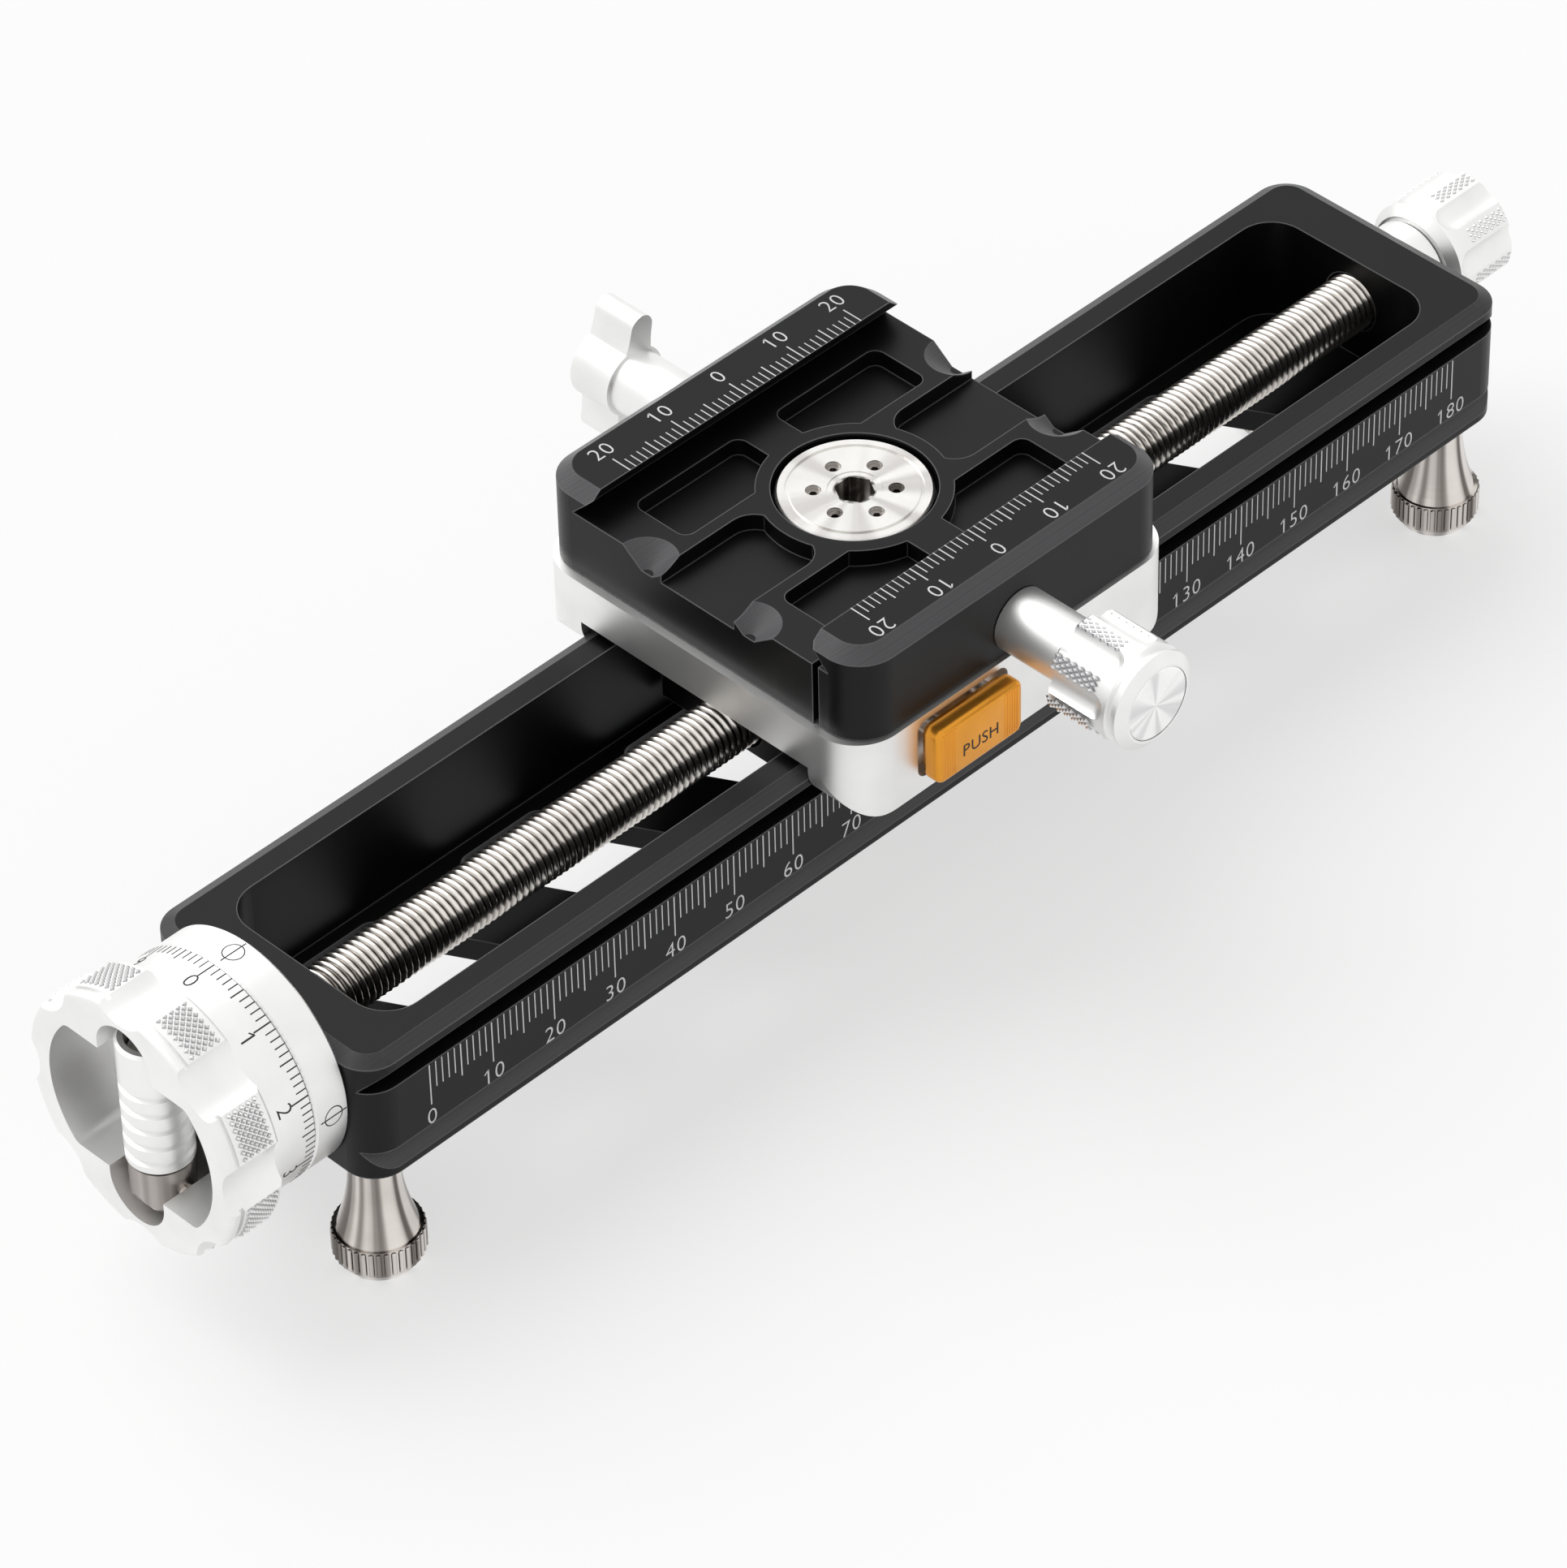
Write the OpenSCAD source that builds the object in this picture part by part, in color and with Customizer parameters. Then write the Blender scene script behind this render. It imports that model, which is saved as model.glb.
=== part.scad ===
// Macro focusing rail: a dovetail rail with a 1 mm pitch lead screw, a carriage with a quick
// release nut, a turning dovetail clamp on top, and four screwed feet under the rail.
// Millimetres. X runs along the rail towards the rear knob, -Y is the scale side, Z is up.
// The origin is the middle of the rail's underside, at the mouth of the tripod socket.

/* [Rail] */
// Length of the rail
rail_l = 200; // [190:1:260]
// Width of the rail over its flanges
rail_w = 38.4; // [38:0.1:40]
// Height of the rail
rail_h = 18.5; // [18.3:0.1:20]
// Radius of the rail's upright corners
rail_corner_r = 4.5; // [3:0.5:6]
// Width of the chamfer round the rail's top
rail_edge_w = 1.8; // [1:0.1:2.2]
// Height of the chamfer round the rail's top
rail_edge_h = 1.05; // [0.6:0.05:1.4]
// Thickness of the wall at the focus knob's end
front_wall_t = 7.7; // [7:0.1:9]
// Thickness of the wall at the rear knob's end
rear_wall_t = 8.3; // [8:0.1:10]
// Thickness of each long side wall
side_wall_t = 4.85; // [4.6:0.05:5]
// Thickness of the floor
floor_t = 3.35; // [2.5:0.05:4]
// Corner radius of the long opening
open_corner_r = 5; // [3:0.5:7]

/* [Rail grooves] */
// Height of the guide groove's flat floor
guide_floor_z = 13.76; // [13.4:0.02:14]
// Depth of the 45 degree guide groove
guide_depth = 2.56; // [2:0.02:2.6]
// Height of the lip under the lower dovetail
tail_lip_z = 0.95; // [0.6:0.05:1.4]
// Height of the lower dovetail's flat shoulder
tail_shoulder_z = 4.05; // [3.6:0.05:4.4]
// Depth of the lower dovetail
tail_depth = 2.6; // [2:0.05:2.8]

/* [Floor windows] */
// Number of windows in the floor
window_count = 6; // [4:1:6]
// Distance between windows
window_pitch = 27.73; // [26:0.01:28]
// Width of a window along the rail
window_w = 14.9; // [12:0.1:16]
// Angle of a window's slanting sides to the square
window_slant = 28.8; // [10:0.1:30]
// Length of a window across the rail
window_span = 25; // [20:0.5:26]
// Shift of the row of windows from the middle of the rail
window_shift = -2.32; // [-3:0.01:0]
// Corner radius of a window
window_corner_r = 2; // [1:0.25:3]

/* [Tripod sockets] */
// Radius of the large tripod socket
socket_big_r = 4.76; // [4.7:0.01:4.8]
// Radius of the small tripod socket
socket_small_r = 3.18; // [3.1:0.01:3.2]
// Wall of metal round a tripod socket
socket_wall = 2.1; // [1.5:0.1:3]
// Height of the bosses that carry the tripod sockets
socket_boss_h = 6.2; // [5:0.1:6.4]

/* [Lead screw] */
// Height of the screw's axis above the underside
axis_z = 11.5; // [11.4:0.05:11.6]
// Radius of the lead screw, one millimetre of travel a turn
screw_r = 4; // [3.5:0.05:4]
// Radius of the screw's turned ends
journal_r = 2.5; // [2:0.05:2.6]
// Outer radius of the ball bearings
bearing_r = 5.5; // [5:0.05:5.6]
// Width of the ball bearings
bearing_w = 5; // [4:0.1:5]
// Radius of the inner race of the ball bearings
bearing_race_r = 3.5; // [3.2:0.05:3.6]
// Running clearance round a turned shaft
run_clear = 0.03; // [0.02:0.01:0.05]

/* [Index collar] */
// Thickness of the fixed index collar
collar_t = 5.1; // [4.6:0.1:6]
// Radius of the index collar and of the dial
collar_r = 15.8; // [15:0.1:16.5]
// Distance of the collar's screws from its axis
collar_screw_off = 11.5; // [10.5:0.1:12]

/* [Focus knob] */
// Length of the focus knob
knob_l = 14.7; // [14.2:0.1:16]
// Radius over the grip
knob_r = 17.7; // [17.2:0.1:19]
// Distance from the knob's front to the back of the grip
grip_l = 8; // [7.4:0.1:8.6]
// Number of scallops round the grip
scallop_count = 8; // [6:1:10]
// Radius of the scallops' floor from the axis
scallop_floor_r = 15.9; // [15.9:0.1:16.2]
// Radius of a scallop's cutter
scallop_r = 5; // [4:0.1:6]
// Radius of the round pocket in the knob's face
cup_r = 14.1; // [13.2:0.1:14.3]
// Distance of the pocket's straight edges from the axis
cup_chord = 9.5; // [8.5:0.1:10]
// Corner radius of the pocket
cup_corner_r = 1.5; // [0.5:0.1:2]
// Width of the slot that takes the folded crank
slot_w = 9.4; // [9.2:0.1:10]
// Distance of the slot's round ends from the axis
slot_reach = 15.2; // [15:0.05:15.3]
// Width of the ring groove behind the front rim
rim_groove_w = 0.6; // [0.4:0.05:0.8]
// Depth of the ring groove
rim_groove_d = 0.4; // [0.2:0.05:0.6]
// Width of the front rim, ahead of the groove
rim_w = 1.2; // [0.9:0.1:1.5]
// Rounding of the rim's outer edge
rim_edge = 0.7; // [0.4:0.1:0.8]

/* [Crank] */
// Radius of the crank's turning sleeve
crank_r = 4.2; // [3.6:0.05:4.3]
// Depth of the crank's axis behind the knob's face
crank_depth = 4.1; // [3.9:0.05:4.6]
// Distance of the crank's hinge pin from the knob's axis
crank_pivot_off = 10.6; // [10.4:0.1:10.8]
// Radius of the rounded hinge end
crank_eye_r = 4; // [3.4:0.05:4.1]
// Distance of the sleeve's lower end from the knob's axis
sleeve_low = 7; // [6:0.1:7.6]
// Distance of the sleeve's upper end from the knob's axis
sleeve_high = 11.9; // [11:0.1:12.2]
// Number of grooves in the sleeve
sleeve_groove_count = 5; // [3:1:6]
// Distance between the sleeve's grooves
sleeve_groove_pitch = 2.6; // [2:0.1:2.7]
// Width of a groove in the sleeve
sleeve_groove_w = 0.9; // [0.5:0.1:1.2]
// Depth of a groove in the sleeve
sleeve_groove_d = 0.4; // [0.2:0.05:0.6]
// Radius of the spindle inside the sleeve
spindle_r = 2; // [1.8:0.05:2.2]
// Radius of the crank's hinge pin
hinge_pin_r = 1; // [0.8:0.05:1.2]

/* [Rear knob] */
// Length of the rear knob
rear_knob_l = 11.8; // [10.5:0.1:13]
// Radius of the rear knob
rear_knob_r = 7.6; // [7.2:0.1:8.2]
// Length of the bearing cap behind the rear knob
rear_cap_l = 3.5; // [2.5:0.1:4.5]
// Radius of the bearing cap
rear_cap_r = 6; // [5.8:0.05:6.2]
// Depth by which the bearing cap sits in the rail
rear_cap_sink = 0.6; // [0.4:0.1:1]

/* [Carriage] */
// Distance of the carriage's middle from the rail's middle
carriage_x = 0.45; // [-5:0.05:5]
// Length of the carriage along the rail
saddle_l = 56.5; // [55.5:0.1:60]
// Width of the carriage across the rail
saddle_w = 56; // [55.2:0.1:58]
// Thickness of the carriage's plate
saddle_t = 6.3; // [5.8:0.1:8]
// Gap between the rail's top and the plate
saddle_gap = 1.2; // [0.8:0.1:1.6]
// Corner radius of the carriage in plan
saddle_corner_r = 6.5; // [5:0.5:8]
// Radius of the lower corners of the guide rails
guide_corner_r = 5; // [2:0.25:5.4]
// Sliding clearance of the guide rails on the rail
guide_clear = 0.3; // [0.2:0.05:0.35]

/* [Release nut] */
// Distance of the release button's middle from the carriage's middle
button_off = -10.25; // [-10.6:0.05:-10]
// Length of the release button along the rail
button_l = 14.8; // [13:0.1:15.4]
// Height of the release button
button_h = 8.2; // [7.4:0.1:9]
// Distance of the button's underside above the rail's underside
button_z = 16.6; // [16:0.1:17]
// Thickness of the button plate
button_t = 2.7; // [2:0.1:3.2]
// Gap between the button and the carriage's side
button_gap = 0.3; // [0.2:0.05:0.5]
// Travel of the release button
button_travel = 1.6; // [1.2:0.1:1.7]
// Radius of the rods behind the button
rod_r = 1.5; // [1.2:0.05:1.6]
// Distance between the rods
rod_pitch = 8.4; // [8:0.1:8.6]
// Length of the nut along the screw
nut_l = 11.3; // [10.5:0.1:11.5]
// Half width of the nut across the screw
nut_half_w = 8.6; // [8:0.1:9]

/* [Clamp] */
// Length of the clamp along the rail
clamp_l = 54.1; // [53:0.1:55]
// Width of the clamp over both jaws
clamp_w = 55; // [54.6:0.1:55.2]
// Thickness of the clamp below its channel
clamp_floor_t = 9.25; // [9:0.05:10]
// Height of the jaws above the channel's floor
jaw_h = 4.1; // [3.8:0.05:4.6]
// Corner radius of the clamp in plan
clamp_corner_r = 5.5; // [4:0.5:6]
// Width of the chamfer round the jaws' tops
jaw_edge_w = 2; // [1:0.1:2.2]
// Height of the chamfer round the jaws' tops
jaw_edge_h = 1.7; // [1:0.1:1.9]
// Distance of the fixed jaw's lip from the middle
fixed_lip_y = 18.4; // [18:0.1:18.6]
// Distance of the moving jaw's lip from the middle
moving_lip_y = 19.03; // [18.8:0.01:19.1]
// Depth of the 45 degree undercut of both jaws
undercut = 3; // [2:0.1:3.2]
// Distance of the joint between body and moving jaw from the middle
split_y = 19.4; // [19.2:0.1:19.6]
// Gap of that joint at rest
split_gap = 1; // [0.9:0.05:1.2]
// Depth of the pockets in the channel's floor
pocket_depth = 2.4; // [1.8:0.05:2.4]
// Radius of the floor's ring round the pivot disc
ring_r = 12.2; // [11.8:0.1:12.5]
// Opening of the jaw by its screw
jaw_open = 5; // [3:0.1:5.5]

/* [Pivot] */
// Radius of the pivot disc
disc_r = 9.8; // [9.4:0.1:10]
// Distance of the disc's face below the channel's floor
disc_sink = 0.4; // [0.2:0.05:0.6]
// Thickness of the disc's flange
disc_t = 2.4; // [2:0.1:2.6]
// Gap round the disc's flange
disc_gap = 0.5; // [0.3:0.05:0.6]
// Radius of the pivot's hub
hub_r = 7.5; // [7:0.1:7.8]
// Radius of the ring of small screws in the disc
disc_screw_ring = 5.08; // [5:0.02:5.2]

/* [Clamp knobs] */
// Height of the clamp knobs' axis above the clamp's underside
cross_z = 4.4; // [4.36:0.02:4.5]
// Radius of both knobs' necks
neck_r = 4.3; // [4:0.05:4.34]
// Length of both knobs' necks
neck_l = 11; // [10:0.1:12]
// Radius of the clamp knob
clamp_knob_r = 6.8; // [6.5:0.1:7.4]
// Length of the clamp knob's head
clamp_knob_l = 11.8; // [10:0.1:13]
// Thickness of the wing
wing_t = 6.5; // [5.5:0.1:8]
// Distance of the wing's tips from its axis
wing_reach = 9.4; // [8.5:0.1:10.5]
// Thickness of the wing's tips
wing_tip_w = 3.6; // [3:0.1:4.2]
// Tilt of the wing at rest
wing_tilt = 12; // [0:1:20]

/* [Feet] */
// Height of the feet
foot_h = 17.25; // [14:0.25:25]
// Radius of a foot at its base ring
foot_r = 5.5; // [5.2:0.1:5.8]
// Radius of a foot where it meets the rail
foot_top_r = 3.1; // [2.8:0.1:3.6]
// Distance of the feet from the rail's middle line
foot_y = 14; // [13.6:0.1:14]
// Distance of the front feet from the rail's end
foot_front_in = 4.6; // [4.4:0.1:5]
// Distance of the rear feet from the rail's end
foot_rear_in = 6.4; // [6:0.1:6.6]
// Radius of the feet's threaded studs
foot_stud_r = 2; // [1.6:0.05:2]
// Length of the feet's threaded studs
foot_stud_l = 8; // [6:0.5:10]

/* [Hidden] */
$fn = 96;
// Overrun of every cutting shape
cut = 0.5;
// Play between pieces that are screwed or pushed together
seat = 0.02;
// Play of faces that slide past each other
slide_gap = 0.1;
// Halves of the main sizes
rail_x = rail_l / 2;
rail_y = rail_w / 2;
open_y = rail_y - side_wall_t;
open_front = -rail_x + front_wall_t;
open_rear = rail_x - rear_wall_t;
// Heights of the stack
plate_z = rail_h + saddle_gap;
plate_top = plate_z + saddle_t;
clamp_z = plate_top + slide_gap;
channel_z = clamp_z + clamp_floor_t;
clamp_top = channel_z + jaw_h;
pocket_z = channel_z - pocket_depth;
disc_top = channel_z - disc_sink;
disc_low = disc_top - disc_t;
cross_axis_z = clamp_z + cross_z;
// Lengths along the screw
screw_rear = rail_x - rear_cap_sink - bearing_w;
screw_front = rail_x - bearing_w;
knob_back = collar_t + slide_gap;
knob_face = knob_back + knob_l;
crank_axis = knob_face - crank_depth;
cup_floor = crank_axis - crank_r - slide_gap * 2;
// Small screws: radius, head radius, head height
m2_r = 1;
m2_head_r = 1.9;
m2_head_h = 1.6;
m3_r = 1.5;
m3_head_r = 2.75;
m3_head_h = 2.4;
hex_share = 0.5;
// Unequal threads and pins of the clamp
clamp_screw_r = 3;
lock_screw_r = 2.5;
guide_pin_r = 2;
guide_pin_x = 18;
shoulder_r = screw_r + slide_gap * 3;
// Positions of the release nut
nut_x = carriage_x + button_off;
button_y = saddle_w / 2 + button_gap;
rod_height_share = 0.4;
rod_z = plate_z + saddle_t * rod_height_share;
nut_gap = 0.7;
nut_low = socket_boss_h + nut_gap;

// Shared shapes

// A square with true round corners, centred on the origin
module round_square(l, w, r) {
    square([l - 2 * r, w], center = true);
    square([l, w - 2 * r], center = true);
    for (x = [-1, 1], y = [-1, 1])
        translate([x * (l / 2 - r), y * (w / 2 - r)])
            circle(r);
}

// A slot with fully round ends, centred on the origin
module round_slot(l, w) {
    square([l - w, w], center = true);
    for (x = [-1, 1])
        translate([x * (l - w) / 2, 0])
            circle(w / 2);
}

// Any outline grown by r with true round corners
module round_outline(points, r) {
    n = len(points);
    polygon(points);
    for (i = [0 : n - 1]) {
        p = points[i];
        q = points[(i + 1) % n];
        out = r * [q[1] - p[1], p[0] - q[0]] / norm(q - p);
        polygon([p, p + out, q + out, q]);
        translate(p)
            circle(r);
    }
}

// A slab with round corners that stands on z = 0
module slab(l, w, h, r) {
    linear_extrude(h)
        round_square(l, w, r);
}

// Half of a chamfered slab's side view
function edge_points(half, h, edge_w, edge_h) =
    [[-half, 0], [half, 0], [half, h - edge_h], [half - edge_w, h], [edge_w - half, h],
        [-half, h - edge_h]];

// A slab with round corners and a chamfer round its top
module chamfer_slab(l, w, h, r, edge_w, edge_h) {
    rotate([90, 0, 0])
        linear_extrude(w - 2 * r, center = true)
            polygon(edge_points(l / 2, h, edge_w, edge_h));
    rotate([90, 0, 90])
        linear_extrude(l - 2 * r, center = true)
            polygon(edge_points(w / 2, h, edge_w, edge_h));
    for (x = [-1, 1], y = [-1, 1])
        translate([x * (l / 2 - r), y * (w / 2 - r), 0])
            rotate_extrude()
                polygon([[0, 0], [r, 0], [r, h - edge_h], [r - edge_w, h], [0, h]]);
}

// A prism along X with an outline in Y and Z
module along_x(l, points) {
    rotate([90, 0, 90])
        linear_extrude(l, center = true)
            polygon(points);
}

// The frame of the focus knob: Z points out of the rail's front end, X points up
module front_axis() {
    translate([-rail_x, 0, axis_z])
        rotate([0, -90, 0])
            children();
}

// The frame of the rear knob: Z points out of the rail's rear end
module rear_axis() {
    translate([rail_x, 0, axis_z])
        rotate([0, 90, 0])
            children();
}

// The frame of the clamp knob, with Z pointing out of the moving jaw
module jaw_axis() {
    translate([carriage_x, -clamp_w / 2, cross_axis_z])
        rotate([90, 0, 0])
            children();
}

// The frame of the wing knob, with Z pointing out of the fixed jaw
module lock_axis() {
    translate([carriage_x, clamp_w / 2, cross_axis_z])
        rotate([-90, 0, 0])
            children();
}

// A hexagon socket with its mouth at z = 0
module hex_socket(r, depth) {
    translate([0, 0, -depth])
        cylinder(depth + cut, r = r, $fn = 6);
}

// A cap screw whose head sits on z = 0 and whose thread points down
module cap_screw(l, r, head_r, head_h) {
    difference() {
        union() {
            cylinder(head_h, r = head_r);
            translate([0, 0, -l])
                cylinder(l + head_h * hex_share, r = r);
        }
        translate([0, 0, head_h])
            hex_socket(head_r * hex_share, head_h * hex_share);
    }
}

// Scallops round a grip, from z0 to a ball end whose middle is at z1
module scallops(count, floor_r, cut_r, z0, z1, phase) {
    for (i = [0 : count - 1])
        rotate([0, 0, phase + i * 360 / count])
            translate([floor_r + cut_r, 0, 0]) {
                translate([0, 0, min(z0, z1)])
                    cylinder(abs(z1 - z0), r = cut_r);
                translate([0, 0, z1])
                    sphere(cut_r);
            }
}

// Rail

// Left and right foot places, front and rear
foot_front_x = -rail_x + foot_front_in;
foot_rear_x = rail_x - foot_rear_in;
// Depth of the collar screws' holes in the rail
collar_screw_in = 6;
// Middle of the row of windows and of the web that carries the small socket
socket_small_x = window_shift + window_pitch;

// One window through the floor, slanted across the rail
module window_cut(x) {
    half_y = window_span / 2 - window_corner_r;
    half_x = window_w / 2 - window_corner_r / cos(window_slant);
    lean = half_y * tan(window_slant);
    translate([x, 0, -cut])
        linear_extrude(floor_t + 2 * cut)
            round_outline([[lean - half_x, -half_y], [lean + half_x, -half_y],
                [half_x - lean, half_y], [-half_x - lean, half_y]], window_corner_r);
}

// Guide groove and lower dovetail on one side of the rail
module side_grooves() {
    along_x(rail_l + 2 * cut, [[rail_y + cut, guide_floor_z],
        [rail_y - guide_depth, guide_floor_z], [rail_y, guide_floor_z + guide_depth],
        [rail_y + cut, guide_floor_z + guide_depth]]);
    along_x(rail_l + 2 * cut, [[rail_y + cut, tail_shoulder_z],
        [rail_y - tail_depth, tail_shoulder_z], [rail_y, tail_lip_z],
        [rail_y + cut, tail_lip_z]]);
}

module rail_body() {
    color([0.13, 0.13, 0.135])
        difference() {
            union() {
                difference() {
                    chamfer_slab(rail_l, rail_w, rail_h, rail_corner_r, rail_edge_w,
                        rail_edge_h);
                    translate([(open_front + open_rear) / 2, 0, floor_t])
                        slab(open_rear - open_front, 2 * open_y, rail_h, open_corner_r);
                    for (i = [0 : window_count - 1])
                        window_cut(window_shift + (i - (window_count - 1) / 2) * window_pitch);
                }
                cylinder(socket_boss_h, r = socket_big_r + socket_wall);
                translate([socket_small_x, 0, 0])
                    cylinder(socket_boss_h, r = socket_small_r + socket_wall);
            }
            translate([0, 0, -cut])
                cylinder(socket_boss_h + 2 * cut, r = socket_big_r);
            translate([socket_small_x, 0, -cut])
                cylinder(socket_boss_h + 2 * cut, r = socket_small_r);
            side_grooves();
            mirror([0, 1, 0])
                side_grooves();
            front_axis() {
                translate([0, 0, -bearing_w])
                    cylinder(bearing_w + cut, r = bearing_r + seat);
                translate([0, 0, -front_wall_t - cut])
                    cylinder(front_wall_t, r = shoulder_r);
                for (y = [-1, 1])
                    translate([0, y * collar_screw_off, -collar_screw_in])
                        cylinder(collar_screw_in + cut, r = m3_r + seat);
            }
            rear_axis() {
                translate([0, 0, -rear_cap_sink - bearing_w])
                    cylinder(bearing_w + cut, r = bearing_r + seat);
                translate([0, 0, -rear_cap_sink])
                    cylinder(rear_cap_sink + cut, r = rear_cap_r + seat);
                translate([0, 0, -rear_wall_t - cut])
                    cylinder(rear_wall_t, r = shoulder_r);
            }
            for (x = [foot_front_x, foot_rear_x], y = [-foot_y, foot_y])
                translate([x, y, -cut])
                    cylinder(foot_stud_l + cut + slide_gap, r = foot_stud_r + seat);
        }
}

// Fixed index collar in front of the rail, with two counterbored screws
// Bore of the collar and chamfer of its edges
collar_bore_r = 3.8;
collar_edge = 0.3;
collar_head_z = collar_t - m3_head_h - slide_gap;

module index_collar() {
    color([0.82, 0.82, 0.81])
        front_axis()
            difference() {
                rotate_extrude()
                    polygon([[collar_bore_r, 0], [collar_r - collar_edge, 0],
                        [collar_r, collar_edge], [collar_r, collar_t - collar_edge],
                        [collar_r - collar_edge, collar_t], [collar_bore_r, collar_t]]);
                for (y = [-1, 1])
                    translate([0, y * collar_screw_off, 0]) {
                        translate([0, 0, -cut])
                            cylinder(collar_t + 2 * cut, r = m3_r + slide_gap);
                        translate([0, 0, collar_head_z])
                            cylinder(collar_t, r = m3_head_r + slide_gap);
                    }
            }
}

module collar_screws() {
    color([0.35, 0.35, 0.36])
        front_axis()
            for (y = [-1, 1])
                translate([0, y * collar_screw_off, collar_head_z])
                    cap_screw(collar_head_z + collar_screw_in - slide_gap, m3_r, m3_head_r,
                        m3_head_h);
}

// A shielded ball bearing that stands on z = 0
// Depth of its shields below its races, and the rim of its outer race
shield_sink = 0.4;
race_rim = 0.8;

module ball_bearing() {
    rotate_extrude()
        polygon([[journal_r + run_clear, 0], [bearing_race_r, 0],
            [bearing_race_r, shield_sink], [bearing_r - race_rim, shield_sink],
            [bearing_r - race_rim, 0], [bearing_r, 0], [bearing_r, bearing_w],
            [bearing_r - race_rim, bearing_w], [bearing_r - race_rim, bearing_w - shield_sink],
            [bearing_race_r, bearing_w - shield_sink], [bearing_race_r, bearing_w],
            [journal_r + run_clear, bearing_w]]);
}

module front_bearing() {
    color([0.7, 0.7, 0.72])
        front_axis()
            translate([0, 0, -bearing_w])
                ball_bearing();
}

module rear_bearing() {
    color([0.7, 0.7, 0.72])
        rear_axis()
            translate([0, 0, -bearing_w - rear_cap_sink])
                ball_bearing();
}

// Cap that holds the rear bearing in its seat
// Bore of the cap and boss of the rear knob inside it
cap_bore_r = 3.7;
rear_boss_r = 3.3;
cap_edge = 0.4;

module rear_bearing_cap() {
    color([0.82, 0.82, 0.81])
        rear_axis()
            rotate_extrude()
                polygon([[cap_bore_r, -rear_cap_sink], [rear_cap_r, -rear_cap_sink],
                    [rear_cap_r, rear_cap_l - cap_edge], [rear_cap_r - cap_edge, rear_cap_l],
                    [cap_bore_r, rear_cap_l]]);
}

// A turned foot: a flared bell, a ring for the fingers and a threaded stud
// Shares of the foot's height at the ring's top and at its lower chamfer
foot_ring_share = 0.693;
foot_low_share = 0.925;
// Shares of the ring's radius at the bell's lower end and at the base
foot_bell_share = 0.93;
foot_base_share = 0.84;
// Curve of the bell and number of its steps
foot_flare = 2.3;
foot_steps = 12;

module foot(x, y) {
    ring_z = foot_h * foot_ring_share;
    bell_r = foot_r * foot_bell_share;
    color([0.72, 0.71, 0.69])
        translate([x, y, 0]) {
            rotate_extrude()
                polygon(concat([[0, 0]],
                    [for (i = [0 : foot_steps])
                        [foot_top_r + (bell_r - foot_top_r) * pow(i / foot_steps, foot_flare),
                            -ring_z * i / foot_steps]],
                    [[foot_r, -ring_z], [foot_r, -foot_h * foot_low_share],
                        [foot_r * foot_base_share, -foot_h], [0, -foot_h]]));
            translate([0, 0, -foot_top_r])
                cylinder(foot_stud_l + foot_top_r, r = foot_stud_r);
        }
}

module foot_front_left() {
    foot(foot_front_x, -foot_y);
}

module foot_front_right() {
    foot(foot_front_x, foot_y);
}

module foot_rear_left() {
    foot(foot_rear_x, -foot_y);
}

module foot_rear_right() {
    foot(foot_rear_x, foot_y);
}

// Spindle: lead screw, focus knob, crank and rear knob
// Lengths of the shaft inside the two knobs
hub_hold = 3.4;
rear_hold = 7.5;
// Length and radius of the knob's fixing screw
fixing_in = 6;
fixing_head_r = 3;
sunk_hex_share = 0.4;

module lead_screw() {
    color([0.75, 0.74, 0.72])
        difference() {
            union() {
                translate([-screw_front + slide_gap / 2, 0, axis_z])
                    rotate([0, 90, 0])
                        cylinder(screw_front + screw_rear - slide_gap, r = screw_r);
                translate([-rail_x - knob_back - hub_hold, 0, axis_z])
                    rotate([0, 90, 0])
                        cylinder(rail_l + knob_back + hub_hold + rear_cap_l + slide_gap
                            + rear_hold, r = journal_r);
            }
            front_axis()
                translate([0, 0, knob_back + hub_hold - fixing_in])
                    cylinder(fixing_in + cut, r = m3_r + seat);
        }
}

// The knob's round pocket with two straight edges and round corners
module cup_outline() {
    corner_x = cup_chord - cup_corner_r;
    corner_y = sqrt(pow(cup_r - cup_corner_r, 2) - pow(corner_x, 2));
    touch_x = cup_r * corner_x / (cup_r - cup_corner_r);
    intersection() {
        circle(cup_r);
        square([2 * touch_x, 2 * cup_r], center = true);
    }
    square([2 * cup_chord, 2 * corner_y], center = true);
    for (x = [-1, 1], y = [-1, 1])
        translate([x * corner_x, y * corner_y])
            circle(cup_corner_r);
}

// Radius of the boss that runs to the bearing, and chamfer behind the grip
knob_boss_r = 3.4;
grip_edge = 0.5;
scallop_turn = 1;
dial_edge = 0.25;
rim_steps = 5;

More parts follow.
